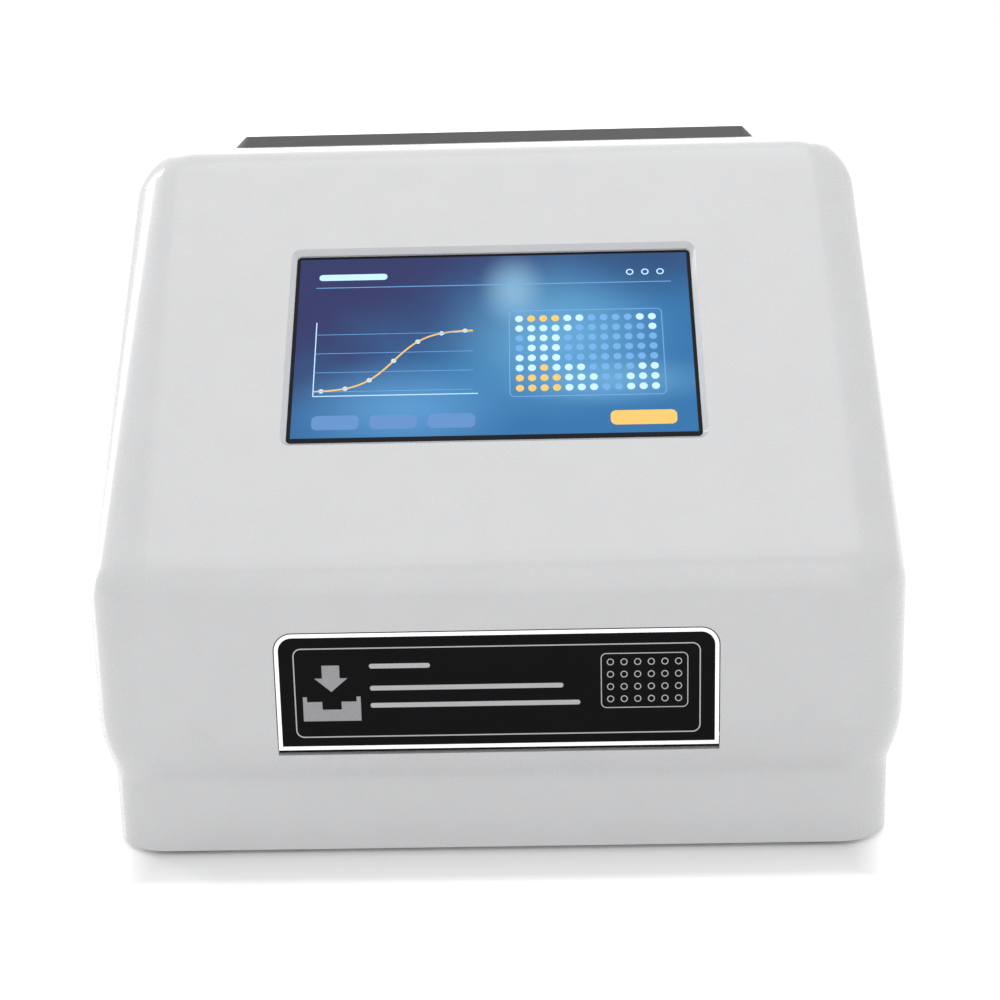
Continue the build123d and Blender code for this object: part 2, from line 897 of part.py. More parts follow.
def belt_clamp():
    low = rod_z_at + belt_inner - belt_gap - clamp_jaw
    high = rod_z_at + belt_outer + belt_gap + clamp_jaw
    clamp = block(carriage_half, clamp_end, clamp_rear - clamp_length, clamp_rear, low, high)
    slot = block(
        belt_left - clamp_back_gap, clamp_end + cut_over,
        clamp_rear - clamp_length - cut_over, clamp_rear + cut_over,
        low + clamp_jaw, high - clamp_jaw,
    )
    return clamp - slot


def guide_rods():
    return both_sides(bar_y(rod_radius, rod_front, rod_rear, rod_x_at, rod_z_at))


def rod_supports():
    blocks = []
    for y in (rod_front, rod_rear - rod_block):
        piece = block(
            rod_x_at - housing_half, carriage_half,
            y, y + rod_block,
            mech_high, rod_block_top,
        )
        piece = piece - bar_y(rod_radius, y - cut_over, y + rod_block + cut_over, rod_x_at, rod_z_at)
        blocks.append(piece)
        blocks.append(mirror(piece, about=Plane.YZ))
    return Compound(blocks)


def drive_belt():
    span = drive_y - idler_y
    middle = (drive_y + idler_y) / 2
    loop = SlotCenterToCenter(span, 2 * belt_outer) - SlotCenterToCenter(span, 2 * belt_inner)
    return extrude(Plane.YZ.offset(belt_left) * Pos(middle, rod_z_at) * loop, belt_width)


def pulley(y, bore):
    wheel = bar_x(pulley_radius, belt_x - pulley_half, belt_x + pulley_half, y, rod_z_at)
    for start in (belt_x - pulley_half - flange_thick, belt_x + pulley_half):
        wheel = wheel + bar_x(flange_radius, start, start + flange_thick, y, rod_z_at)
    return wheel - bar_x(bore, belt_x - 2 * pulley_half, belt_x + 2 * pulley_half, y, rod_z_at)


def drive_pulley():
    return pulley(drive_y, shaft_radius)


def motor_shaft():
    return bar_x(shaft_radius, belt_x - pulley_half - flange_thick, shaft_end, drive_y, rod_z_at)


def stepper_motor():
    body = Pos(motor_face + motor_long / 2, drive_y, rod_z_at) * Box(motor_long, motor_square, motor_square)
    body = chamfer(body.edges().filter_by(Axis.X), motor_chamfer)
    pilot_face = motor_face - motor_pilot_long
    body = body + bar_x(motor_pilot, pilot_face, motor_face, drive_y, rod_z_at)
    bore = shaft_radius + running_gap
    return body - bar_x(bore, pilot_face - cut_over, shaft_end + cut_over, drive_y, rod_z_at)


def bracket(y0, y1, high):
    # Bent sheet on the base plate: an upright beside the belt and a foot under the motor's side.
    upright = block(bracket_inner, motor_face, y0, y1, base_top, high)
    return upright + block(motor_face, motor_face + bracket_foot, y0, y1, base_top, base_top + bracket_thick)


def motor_bracket():
    half = motor_square / 2
    body = bracket(drive_y - half, drive_y + half, rod_z_at + half)
    return body - bar_x(motor_pilot, bracket_inner - cut_over, motor_face + cut_over, drive_y, rod_z_at)


def idler_bracket():
    body = bracket(idler_y - idler_bracket_y, idler_y + idler_bracket_y, idler_bracket_top)
    pin_start = belt_x - pulley_half - 2 * flange_thick
    return body + bar_x(idler_pin, pin_start, bracket_inner, idler_y, rod_z_at)


def idler_pulley():
    return pulley(idler_y, idler_pin + running_gap)


def mechanism_plate():
    plate = block(-mech_half, mech_half, mech_front, mech_rear, mech_low, mech_high)
    plate = fillet(plate.edges().filter_by(Axis.Z), carrier_corner)
    window = extrude(RectangleRounded(*mech_window, carrier_corner), 2 * mech_high)
    return plate - Pos(0, mech_window_y, 0) * window


def mechanism_pillars():
    x = mech_half - pillar_side_in
    posts = []
    for sx in (-1, 1):
        for y in (mech_front + pillar_front_in, mech_rear - pillar_rear_in):
            posts.append(bar_z(pillar_radius, base_top, mech_low, sx * x, y))
    return Compound(posts)


def optic_places():
    return [(n - (optic_count - 1) / 2) * optic_pitch for n in range(optic_count)]


def optics_bridge():
    y0 = optic_y - bridge_length / 2
    y1 = optic_y + bridge_length / 2
    outer = bridge_leg_in + bridge_leg
    leg = block(bridge_leg_in, outer, y0, y1, base_top, bridge_top)
    foot = block(outer, outer + bridge_foot, y0, y1, base_top, base_top + bridge_foot_thick)
    body = both_sides(leg + foot) + block(-outer, outer, y0, y1, bridge_under, bridge_top)
    body = fillet(body.edges().filter_by(Axis.Y).group_by(Axis.Z)[-1], bridge_edge)
    floor = bridge_under + bridge_pocket
    for sy in (-1, 1):
        y = optic_y + sy * bridge_pocket_off
        half = bridge_pocket_length / 2
        body = body - block(-detector_half, detector_half, y - half, y + half, floor, bridge_top + cut_over)
    for x in optic_places():
        body = body - bar_z(barrel_radius, bridge_under - cut_over, bridge_top + cut_over, x, optic_y)
    return body


def lens_barrels():
    tubes = []
    for x in optic_places():
        tube = bar_z(barrel_radius, barrel_low, barrel_high, x, optic_y)
        tubes.append(tube + bar_z(barrel_flange, bridge_top, bridge_top + barrel_flange_thick, x, optic_y))
    return Compound(tubes)


def detector_board():
    half = detector_length / 2
    low = mech_high + detector_post
    board = block(-detector_half, detector_half, optic_y - half, optic_y + half, low, low + board_thick)
    for sx in (-1, 1):
        for sy in (-1, 1):
            x = sx * (detector_half - standoff_in)
            y = optic_y + sy * (half - standoff_in)
            board = board + bar_z(standoff_radius, mech_high, low, x, y)
    return board


def detector_block():
    half = detector_block_length / 2
    low = mech_high + detector_post + board_thick
    end = detector_half - ledge
    body = block(-end, end, optic_y - half, optic_y + half, low, detector_block_top)
    floor = detector_block_top - detector_eye_deep
    for x in optic_places():
        body = body - bar_z(detector_eye, floor, detector_block_top + cut_over, x, optic_y)
    return body


def home_sensor():
    back = carriage_rear + sensor_past
    front = back - sensor_length
    half = sensor_width / 2
    slot = sensor_slot / 2
    body = block(flag_x - half, flag_x + half, front, back, mech_high, sensor_high)
    over = sensor_high + cut_over
    return body - block(flag_x - slot, flag_x + slot, front - cut_over, back + cut_over, sensor_floor, over)


def upper_shelf():
    plate = block(-shelf_half, shelf_half, shelf_front, shelf_rear, shelf_low, shelf_high)
    return fillet(plate.edges().filter_by(Axis.Z), shelf_corner)


def shelf_posts():
    # The right rear post stands ahead of the motor.
    front = shelf_front + shelf_post_front
    places = [(-shelf_post_x, front), (shelf_post_x, front)]
    places.append((-shelf_post_x, half_d - shelf_post_rear))
    places.append((shelf_post_x, drive_y - shelf_post_before_motor))
    return Compound([bar_z(pillar_radius, base_top, shelf_low, x, y) for x, y in places])


def filter_wheel():
    # Disc with eight filter seats, its hub and its stub shaft in one piece.
    wheel = bar_y(wheel_radius, wheel_front, wheel_back, wheel_x, beam_z)
    wheel = wheel + bar_y(wheel_hub, wheel_front - wheel_hub_long, wheel_back + wheel_hub_back, wheel_x, beam_z)
    wheel = wheel + bar_y(wheel_shaft, wheel_front, wheel_motor_front + wheel_motor_long / 2, wheel_x, beam_z)
    for x, z in filter_places():
        wheel = wheel - bar_y(filter_radius, wheel_front - cut_over, wheel_back + cut_over, x, z)
    return wheel


def filter_places():
    places = []
    for number in range(wheel_count):
        angle = 2 * math.pi * number / wheel_count
        places.append((wheel_x - wheel_pitch * math.cos(angle), beam_z + wheel_pitch * math.sin(angle)))
    return places


def filter_discs():
    middle = wheel_front + wheel_thick / 2
    discs = []
    for x, z in filter_places():
        discs.append(bar_y(filter_radius, middle - filter_thick / 2, middle + filter_thick / 2, x, z))
    return Compound(discs)


def wheel_motor_body():
    half = wheel_motor / 2
    front = wheel_motor_front
    body = block(wheel_x - half, wheel_x + half, front, front + wheel_motor_long, beam_z - half, beam_z + half)
    body = chamfer(body.edges().filter_by(Axis.Y), wheel_motor_chamfer)
    bore_end = front + wheel_motor_long / 2 + cut_over
    return body - bar_y(wheel_shaft + running_gap, front - cut_over, bore_end, wheel_x, beam_z)


def wheel_bracket():
    half = wheel_motor / 2
    left = wheel_x - half
    right = wheel_x + half
    back = wheel_motor_front
    body = block(left, right, wheel_plate_front, back, shelf_high, beam_z + half)
    body = body + block(left, right, back, back + wheel_plate_foot, shelf_high, shelf_high + wheel_plate)
    return body - bar_y(2 * wheel_shaft, wheel_plate_front - cut_over, back + cut_over, wheel_x, beam_z)


def fibre_collar():
    back = collar_front + collar_length
    body = block(beam_x - collar_half, beam_x + collar_half, collar_front, back, shelf_high, collar_high)
    return chamfer(body.edges().filter_by(Axis.Y).group_by(Axis.Z)[-1], collar_chamfer)


def fibre_bundle():
    # Twelve light guides that fan out and bend down from the collar to the lens barrels.
    guides = []
    ring = Plane(origin=(0, collar_front, 0), z_dir=(0, -1, 0)) * Circle(fibre_radius)
    bend_from = collar_front - fibre_straight
    bend_to = barrel_high + fibre_straight
    for number, x in enumerate(optic_places()):
        start = beam_x + (number - (optic_count - 1) / 2) * fibre_pitch
        points = [(start, collar_front, beam_z)]
        for run in range(fibre_runs + 1):
            angle = math.radians(90 * run / fibre_runs)
            points.append((
                start + (x - start) * math.sin(angle),
                bend_from + (optic_y - bend_from) * math.sin(angle),
                bend_to + (beam_z - bend_to) * math.cos(angle),
            ))
        points.append((x, optic_y, barrel_high))
        guides.append(sweep(Pos(start, 0, beam_z) * ring, path=Polyline(*points), transition=Transition.RIGHT))
    return Compound(guides)


def lamp_house():
    left = beam_x - lamp_half
    right = beam_x + lamp_half
    body = block(left, right, lamp_front, lamp_rear, shelf_high, lamp_high)
    body = body - block(
        left + lamp_wall, right - lamp_wall,
        lamp_front + lamp_wall, lamp_rear - lamp_wall,
        shelf_high + lamp_wall, lamp_high - lamp_wall,
    )
    body = body - bar_y(lens_radius, lamp_front - cut_over, lamp_front + lamp_wall + cut_over, beam_x, beam_z)
    slot = extrude(Rot(0, 0, 90) * SlotOverall(lamp_slot[1], lamp_slot[0]), 3 * lamp_wall)
    for number in range(lamp_slot_count):
        x = beam_x + (number - (lamp_slot_count - 1) / 2) * lamp_slot_pitch
        body = body - Pos(x, lamp_mid, lamp_high - 2 * lamp_wall) * slot
    return body


def condenser_barrel():
    front = lamp_front - lens_barrel_long
    tube = bar_y(lens_barrel_radius, front, lamp_front, beam_x, beam_z)
    wide, long = lens_foot
    foot = block(
        beam_x - wide / 2, beam_x + wide / 2,
        lens_at - long / 2, lens_at + long / 2,
        shelf_high, beam_z - lens_barrel_radius + lens_foot_lap,
    )
    return tube + foot - bar_y(lens_radius, front - cut_over, lamp_front + cut_over, beam_x, beam_z)


def condenser_lens():
    lens = bar_y(lens_radius, lens_at, lens_at + lens_thick, beam_x, beam_z)
    return chamfer(lens.edges().group_by(Axis.Y)[-1], lens_edge)


def lamp_socket():
    return bar_z(socket_radius, shelf_high + lamp_wall, socket_high, beam_x, lamp_mid)


def lamp_bulb():
    bulb = bar_z(bulb_radius, socket_high, bulb_high, beam_x, lamp_mid)
    return fillet(bulb.edges().group_by(Axis.Z)[-1], bulb_tip)


def power_supply():
    # Perforated sheet case, left empty.
    body = block(psu_left, psu_right, psu_front, psu_rear, shelf_high, psu_top)
    body = fillet(body.edges().filter_by(Axis.Z), psu_corner)
    body = body - block(
        psu_left + psu_sheet, psu_right - psu_sheet,
        psu_front + psu_sheet, psu_rear - psu_sheet,
        shelf_high + psu_sheet, psu_top - psu_sheet,
    )
    slot = extrude(Rot(0, 0, 90) * SlotOverall(psu_slot[1], psu_slot[0]), 3 * psu_sheet)
    for number in range(psu_slot_count):
        x = (psu_left + psu_right) / 2 + (number - (psu_slot_count - 1) / 2) * psu_slot_pitch
        body = body - Pos(x, (psu_front + psu_rear) / 2, psu_top - 2 * psu_sheet) * slot
    return body


def main_board():
    return block(main_left, main_right, main_front, main_rear, main_low, main_high)


def board_posts():
    posts = []
    for x in (main_left + main_post_in, main_right - main_post_in):
        for y in (main_front + main_post_in, main_rear - main_post_rear):
            posts.append(bar_z(standoff_radius, main_high, shelf_low, x, y))
    return Compound(posts)


def board_chips():
    # Each chip is given by its place from the board's left front corner and its size.
    sizes = list(chips)
    sizes += [(x, header_in, *header_size) for x in header_places]
    parts = []
    for across, along, sx, sy, high in sizes:
        x = main_left + across
        y = main_front + along
        parts.append(block(x - sx / 2, x + sx / 2, y - sy / 2, y + sy / 2, main_high, main_high + high))
    return Compound(parts)


def window_xz(x, z, size):
    return Pos(x, z) * Rectangle(*size)


def rear_panel():
    middle = (panel_low + panel_high) / 2
    beam = Pos(beam_x, beam_z)
    face = Pos(0, middle) * RectangleRounded(2 * panel_half, panel_high - panel_low, rear_window_corner)
    face = face - beam * Circle(fan_bore - grille_lip)
    face = face + beam * Circle(fan_hub)
    for number in range(grille_bars):
        face = face + beam * Rot(0, 0, 180 / grille_bars * number) * Rectangle(2 * fan_bore, grille_bar)
    face = face + beam * (Circle(grille_ring[1]) - Circle(grille_ring[0]))
    face = face - window_xz(inlet_x, inlet_z, inlet_body)
    face = face - window_xz(switch_x, switch_z, switch_inner)
    face = face - window_xz(usb_x, main_high + usb_size[1] / 2, usb_size)
    face = face - window_xz(serial_x, main_high + serial_size[1] / 2, serial_size)
    for number in range(panel_slot_count):
        place = Pos(panel_slot_x + number * panel_slot_pitch, panel_slot_z) * Rot(0, 0, 90)
        face = face - place * SlotOverall(panel_slot[1], panel_slot[0])
    return slab_y(face, panel_front, rear_inner)


def fan_frame():
    beam = Pos(beam_x, beam_z)
    outline = beam * RectangleRounded(fan_square, fan_square, fan_corner)
    body = slab_y(outline - beam * Circle(fan_bore), fan_front, panel_front)
    plate_y = panel_front - fan_stator_thick
    body = body + bar_y(fan_stator, plate_y, panel_front, beam_x, beam_z)
    arm = Pos(0, (fan_bore + fan_stator) / 2) * Rectangle(fan_strut, fan_bore - fan_stator + 2 * cut_over)
    for number in range(fan_struts):
        body = body + slab_y(beam * Rot(0, 0, 360 / fan_struts * number) * arm, plate_y, panel_front)
    start = fan_front + fan_boss_from
    body = body + bar_y(fan_boss, start, plate_y, beam_x, beam_z)
    return body - bar_y(fan_shaft + running_gap, start - cut_over, plate_y, beam_x, beam_z)


def fan_rotor():
    front = fan_front + fan_axial_gap
    back = panel_front - fan_stator_thick - fan_axial_gap
    middle = (front + back) / 2
    cup = bar_y(fan_hub, front, back, beam_x, beam_z)
    cup = cup - bar_y(fan_hub - fan_hub_wall, front + fan_hub_wall, back + cut_over, beam_x, beam_z)
    cup = cup + bar_y(fan_shaft, front, back - cut_over, beam_x, beam_z)
    root = Plane(origin=(beam_x + fan_hub - fan_hub_wall / 2, middle, beam_z), x_dir=(0, 1, 0), z_dir=(1, 0, 0))
    tip = Plane(origin=(beam_x + fan_tip, middle, beam_z), x_dir=(0, 1, 0), z_dir=(1, 0, 0))
    blade = loft([
        root * Rot(0, 0, fan_root_angle) * Rectangle(fan_root_chord, fan_blade_thick),
        tip * Rot(0, 0, fan_tip_angle) * Rectangle(fan_tip_chord, fan_blade_thick),
    ])
    spin = Axis((beam_x, 0, beam_z), (0, 1, 0))
    for number in range(fan_blades):
        cup = cup + blade.rotate(spin, 360 / fan_blades * number)
    return cup


def power_inlet():
    # Mains inlet with a blind socket, three blades and a seat for the fuse drawer above it.
    body = slab_y(window_xz(inlet_x, inlet_z, inlet_body), rear_inner - inlet_deep, rear_inner)
    flange = Pos(inlet_x, inlet_z) * RectangleRounded(*inlet_flange, inlet_corner)
    body = body + slab_y(flange, rear_inner, plate_out)
    socket = chamfer(Rectangle(*socket_size).vertices().group_by(Axis.Y)[-1], socket_cut)
    floor = plate_out - socket_deep
    body = body - slab_y(Pos(inlet_x, socket_z) * socket, floor, plate_out + cut_over)
    body = body - slab_y(window_xz(inlet_x, fuse_z, fuse_size), plate_out - fuse_deep, plate_out + cut_over)
    thick, high, long = blade_size
    for x, z in blade_places:
        pin = window_xz(inlet_x + x, socket_z + z, (thick, high))
        body = body + slab_y(pin, floor - cut_over, floor + long)
    return body


def fuse_drawer():
    size = (fuse_size[0] - 2 * fuse_gap, fuse_size[1] - 2 * fuse_gap)
    body = slab_y(window_xz(inlet_x, fuse_z, size), plate_out - fuse_deep + fuse_gap, plate_out)
    wide, high, deep = fuse_grip
    grip = window_xz(inlet_x, fuse_z - size[1] / 2 + fuse_grip_up, (wide, high))
    return body - slab_y(grip, plate_out - deep, plate_out + cut_over)


def switch_bezel():
    body = slab_y(window_xz(switch_x, switch_z, switch_inner), rear_inner - switch_deep, rear_inner)
    frame = Pos(switch_x, switch_z) * RectangleRounded(*switch_outer, switch_corner)
    body = body + slab_y(frame, rear_inner, plate_out)
    hollow = (switch_inner[0] - 2 * switch_wall, switch_inner[1] - 2 * switch_wall)
    body = body - slab_y(window_xz(switch_x, switch_z, hollow), rear_inner - switch_hollow, plate_out + cut_over)
    half = switch_inner[0] / 2
    return body + bar_x(rocker_pin, switch_x - half, switch_x + half, rocker_y, switch_z)


def switch_rocker():
    half_high = switch_inner[1] / 2 - switch_wall - rocker_gap
    half_wide = switch_inner[0] / 2 - switch_wall - rocker_gap
    outline = Plane.YZ * Polygon(
        (rocker_y - rocker_in, switch_z - half_high + rocker_edge),
        (rocker_y + rocker_out, switch_z - half_high),
        (rocker_y + rocker_crown, switch_z),
        (rocker_y + rocker_out, switch_z + half_high),
        (rocker_y - rocker_in, switch_z + half_high - rocker_edge),
        (rocker_y - rocker_belly, switch_z),
        align=None,
    )
    rocker = Pos(switch_x, 0, 0) * extrude(outline, half_wide, both=True)
    rocker = rocker.rotate(Axis((switch_x, rocker_y, switch_z), (1, 0, 0)), -rocker_tilt)
    reach = half_wide + cut_over
    return rocker - bar_x(rocker_pin + running_gap, switch_x - reach, switch_x + reach, rocker_y, switch_z)


def usb_port():
    z = main_high + usb_size[1] / 2
    back = port_out - port_deep
    body = slab_y(window_xz(usb_x, z, usb_size), back, port_out)
    body = body - slab_y(window_xz(usb_x, z, usb_hole), back + port_floor, port_out + cut_over)
    return body + slab_y(window_xz(usb_x, z, usb_tongue), back + port_floor - cut_over, port_out - usb_tongue_in)


def serial_port():
    z = main_high + serial_size[1] / 2
    body = slab_y(window_xz(serial_x, z, serial_size), port_out - port_deep, rear_inner)
    place = Pos(serial_x, z)
    shell = place * RectangleRounded(*serial_shell, serial_corner)
    inner = place * RectangleRounded(
        serial_shell[0] - 2 * serial_wall, serial_shell[1] - 2 * serial_wall, serial_corner - serial_wall
    )
    body = body + slab_y(shell, rear_inner - cut_over, port_out)
    body = body - slab_y(inner, port_out - serial_cup, port_out + cut_over)
    for row, count in zip(serial_rows, serial_counts):
        for number in range(count):
            x = serial_x + (number - (count - 1) / 2) * serial_pitch
            body = body + bar_y(serial_pin, port_out - serial_cup - cut_over, port_out - cut_over, x, z + row)
    return body


PARTS = {
    "top_cover": top_cover,
    "base_plate": base_plate,
    "rubber_feet": rubber_feet,
    "service_cover": service_cover,
    "display_glass": display_glass,
    "lcd_module": lcd_module,
    "display_bracket": display_bracket,
    "display_board": display_board,
    "door_frame": door_frame,
    "hinge_pins": hinge_pins,
    "flap_panel": flap_panel,
    "flap_rim": flap_rim,
    "flap_label": flap_label,
    "plate_carrier": plate_carrier,
    "plate_spring": plate_spring,
    "carriage": carriage,
    "slide_bushes": slide_bushes,
    "belt_clamp": belt_clamp,
    "guide_rods": guide_rods,
    "rod_supports": rod_supports,
    "drive_belt": drive_belt,
    "drive_pulley": drive_pulley,
    "motor_shaft": motor_shaft,
    "stepper_motor": stepper_motor,
    "motor_bracket": motor_bracket,
    "idler_bracket": idler_bracket,
    "idler_pulley": idler_pulley,
    "mechanism_plate": mechanism_plate,
    "mechanism_pillars": mechanism_pillars,
    "optics_bridge": optics_bridge,
    "lens_barrels": lens_barrels,
    "detector_board": detector_board,
    "detector_block": detector_block,
    "home_sensor": home_sensor,
    "upper_shelf": upper_shelf,
    "shelf_posts": shelf_posts,
    "filter_wheel": filter_wheel,
    "filter_discs": filter_discs,
    "wheel_motor": wheel_motor_body,
    "wheel_bracket": wheel_bracket,
    "fibre_collar": fibre_collar,
    "fibre_bundle": fibre_bundle,
    "lamp_house": lamp_house,
    "condenser_barrel": condenser_barrel,
    "condenser_lens": condenser_lens,
    "lamp_socket": lamp_socket,
    "lamp_bulb": lamp_bulb,
    "power_supply": power_supply,
    "main_board": main_board,
    "board_posts": board_posts,
    "board_chips": board_chips,
    "rear_panel": rear_panel,
    "fan_frame": fan_frame,
    "fan_rotor": fan_rotor,
    "power_inlet": power_inlet,
    "fuse_drawer": fuse_drawer,
    "switch_bezel": switch_bezel,
    "switch_rocker": switch_rocker,
    "usb_port": usb_port,
    "serial_port": serial_port,
}

for name, make in PARTS.items():
    shape = make()
    export_step(shape, "parts/" + name + ".step")
    box = shape.bounding_box()
    print(name, len(shape.solids()), round(shape.volume), box.min, box.max)
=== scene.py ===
import json
import math
import bmesh
import bpy
from mathutils import Matrix, Vector


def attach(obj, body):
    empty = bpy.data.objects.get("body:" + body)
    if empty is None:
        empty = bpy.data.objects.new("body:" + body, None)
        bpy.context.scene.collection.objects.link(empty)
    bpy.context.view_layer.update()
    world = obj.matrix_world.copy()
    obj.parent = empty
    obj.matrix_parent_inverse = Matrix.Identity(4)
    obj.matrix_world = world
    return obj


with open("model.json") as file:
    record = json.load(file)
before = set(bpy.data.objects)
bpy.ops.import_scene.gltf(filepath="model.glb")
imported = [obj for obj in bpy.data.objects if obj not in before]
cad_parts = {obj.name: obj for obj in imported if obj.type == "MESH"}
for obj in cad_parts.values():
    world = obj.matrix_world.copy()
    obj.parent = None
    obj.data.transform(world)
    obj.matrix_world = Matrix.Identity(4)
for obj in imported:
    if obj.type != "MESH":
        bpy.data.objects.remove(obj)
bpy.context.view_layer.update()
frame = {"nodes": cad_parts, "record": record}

nodes = frame["nodes"]

# The display's plane: its foot on the front face, across, up the slope and outwards.
SLOPE = math.radians(44.0)
SLOPE_FOOT = Vector((0, -0.170, 0.1075))
ACROSS = Vector((1, 0, 0))
UP_SLOPE = Vector((0, math.cos(SLOPE), math.sin(SLOPE)))
OUT_SLOPE = Vector((0, -math.sin(SLOPE), math.cos(SLOPE)))
# The display's width and height, and how far up the slope it starts.
DISPLAY_W, DISPLAY_H, DISPLAY_LOW = 0.1563, 0.0895, 0.060
# How far the glass lies under the slope, and where the label's face is.
GLASS_TOP = -0.0030
LABEL_Y = -0.1698

# The camera fitted to the photograph: where it aims, how far off it stands and its angles in degrees.
CAMERA_TARGET = Vector((0.0006, -0.070, 0.1102))
CAMERA_FAR = 0.754
CAMERA_TURN, CAMERA_LIFT, CAMERA_ROLL = 1.2, 14.5, 1.36
# The focal length in pixels of a picture 1000 pixels wide, and the sensor's width in millimetres.
FOCAL_PIXELS, PICTURE_PIXELS, SENSOR = 1850, 1000, 36.0
CLIP_START = 0.01


def camera():
    turn, lift, roll = (math.radians(angle) for angle in (CAMERA_TURN, CAMERA_LIFT, CAMERA_ROLL))
    back = Vector((math.sin(turn) * math.cos(lift), -math.cos(turn) * math.cos(lift), math.sin(lift)))
    right = (-back).cross(Vector((0, 0, 1))).normalized()
    up = right.cross(-back)
    right2 = right * math.cos(roll) - up * math.sin(roll)
    up2 = right * math.sin(roll) + up * math.cos(roll)
    data = bpy.data.cameras.new("camera")
    data.sensor_width = SENSOR
    data.lens = FOCAL_PIXELS * SENSOR / PICTURE_PIXELS
    data.clip_start = CLIP_START
    cam = bpy.data.objects.new("camera", data)
    bpy.context.scene.collection.objects.link(cam)
    rot = Matrix((right2, up2, back)).transposed().to_4x4()
    cam.matrix_world = Matrix.Translation(CAMERA_TARGET + back * CAMERA_FAR) @ rot
    bpy.context.scene.camera = cam


# The colour sockets of a mix node by their places, because its names repeat for each data type.
MIX_A, MIX_B, MIX_RESULT = 6, 7, 2


class Maths:
    # Shader arithmetic on one node tree.
    def __init__(self, tree):
        self.tree = tree

    def put(self, kind, **sets):
        node = self.tree.nodes.new(kind)
        for key, value in sets.items():
            setattr(node, key, value)
        return node

    def feed(self, socket, value):
        if isinstance(value, bpy.types.NodeSocket):
            self.tree.links.new(value, socket)
        else:
            socket.default_value = value

    def op(self, what, a, b=0.0):
        node = self.put("ShaderNodeMath", operation=what)
        for socket, value in zip(node.inputs, (a, b)):
            self.feed(socket, value)
        return node.outputs[0]

    def span(self, value, low, high, to_low=0.0, to_high=1.0, smooth=True):
        node = self.put("ShaderNodeMapRange", interpolation_type="SMOOTHSTEP" if smooth else "LINEAR")
        names = ("Value", "From Min", "From Max", "To Min", "To Max")
        for name, item in zip(names, (value, low, high, to_low, to_high)):
            self.feed(node.inputs[name], item)
        return node.outputs["Result"]

    def mix(self, factor, a, b):
        node = self.put("ShaderNodeMix", data_type="RGBA")
        self.feed(node.inputs["Factor"], factor)
        self.feed(node.inputs[MIX_A], a)
        self.feed(node.inputs[MIX_B], b)
        return node.outputs[MIX_RESULT]

    def noise(self, coords, scale, detail=2.0, stretch=None):
        if stretch:
            mapping = self.put("ShaderNodeMapping")
            mapping.inputs["Scale"].default_value = stretch
            self.feed(mapping.inputs["Vector"], coords)
            coords = mapping.outputs[0]
        node = self.put("ShaderNodeTexNoise")
        node.inputs["Scale"].default_value = scale
        node.inputs["Detail"].default_value = detail
        self.feed(node.inputs["Vector"], coords)
        return node.outputs["Fac"]


def new_material(name):
    # A material with its main shader, the helper for its nodes and the object's own coordinates.
    material = bpy.data.materials.new(name)
    material.use_nodes = True
    tree = material.node_tree
    m = Maths(tree)
    coords = m.put("ShaderNodeTexCoord").outputs["Object"]
    return material, tree.nodes["Principled BSDF"], m, coords


def shade(color, factor):
    return tuple(min(1.0, c * factor) for c in color[:3]) + (1.0,)


# The relief's depth in metres, how rough a clear coat is, and how much the gloss varies.
RELIEF = 0.00004
COAT_ROUGH = 0.06
LESS_ROUGH, MORE_ROUGH, LEAST_ROUGH = 0.04, 0.05, 0.02
# The broad mottle's scale beside the fine grain's, and the grain's share in the colour.
BROAD_SCALE, GRAIN_SHARE = 0.04, 0.4
BROAD_DETAIL, FINE_DETAIL = 3.0, 4.0
# The spans of noise that the colour and the gloss follow, and how much less it lightens than darkens.
MOTTLE_SPAN, GLOSS_SPAN, LIGHTER = (0.45, 0.95), (0.3, 0.7), 0.5


def surface(
    name, color, rough, metal=0.0, grain=900.0, bump=0.04, vary=0.05,
    coat=0.0, stretch=None, glow=None, shine=0.5,
):
    # A plastic, metal or rubber with colour and gloss that vary slightly and a fine relief.
    material, bsdf, m, coords = new_material(name)
    broad = m.noise(coords, grain * BROAD_SCALE, BROAD_DETAIL)
    fine = m.noise(coords, grain, FINE_DETAIL, stretch)
    mottle = m.span(m.op("ADD", broad, m.op("MULTIPLY", fine, GRAIN_SHARE)), *MOTTLE_SPAN)
    darker, lighter = shade(color, 1 - vary), shade(color, 1 + vary * LIGHTER)
    m.feed(bsdf.inputs["Base Color"], m.mix(mottle, darker, lighter))
    smoothest = max(LEAST_ROUGH, rough - LESS_ROUGH)
    m.feed(bsdf.inputs["Roughness"], m.span(fine, *GLOSS_SPAN, smoothest, rough + MORE_ROUGH))
    bsdf.inputs["Metallic"].default_value = metal
    bsdf.inputs["Coat Weight"].default_value = coat
    bsdf.inputs["Coat Roughness"].default_value = COAT_ROUGH
    bsdf.inputs["Specular IOR Level"].default_value = shine
    relief = m.put("ShaderNodeBump")
    relief.inputs["Strength"].default_value = bump
    relief.inputs["Distance"].default_value = RELIEF
    m.feed(relief.inputs["Height"], fine)
    m.feed(bsdf.inputs["Normal"], relief.outputs[0])
    if glow:
        bsdf.inputs["Emission Color"].default_value = shade(color, 1.0)
        bsdf.inputs["Emission Strength"].default_value = glow
    return material


GLASS_ROUGH, GLASS_DUST, GLASS_INDEX = 0.02, 0.04, 1.45
DUST_SCALE, DUST_DETAIL, DUST_SHADE = 400.0, 4.0, 0.97
DUST_SPAN, DUST_GLOSS_SPAN = (0.4, 0.6), (0.4, 0.7)


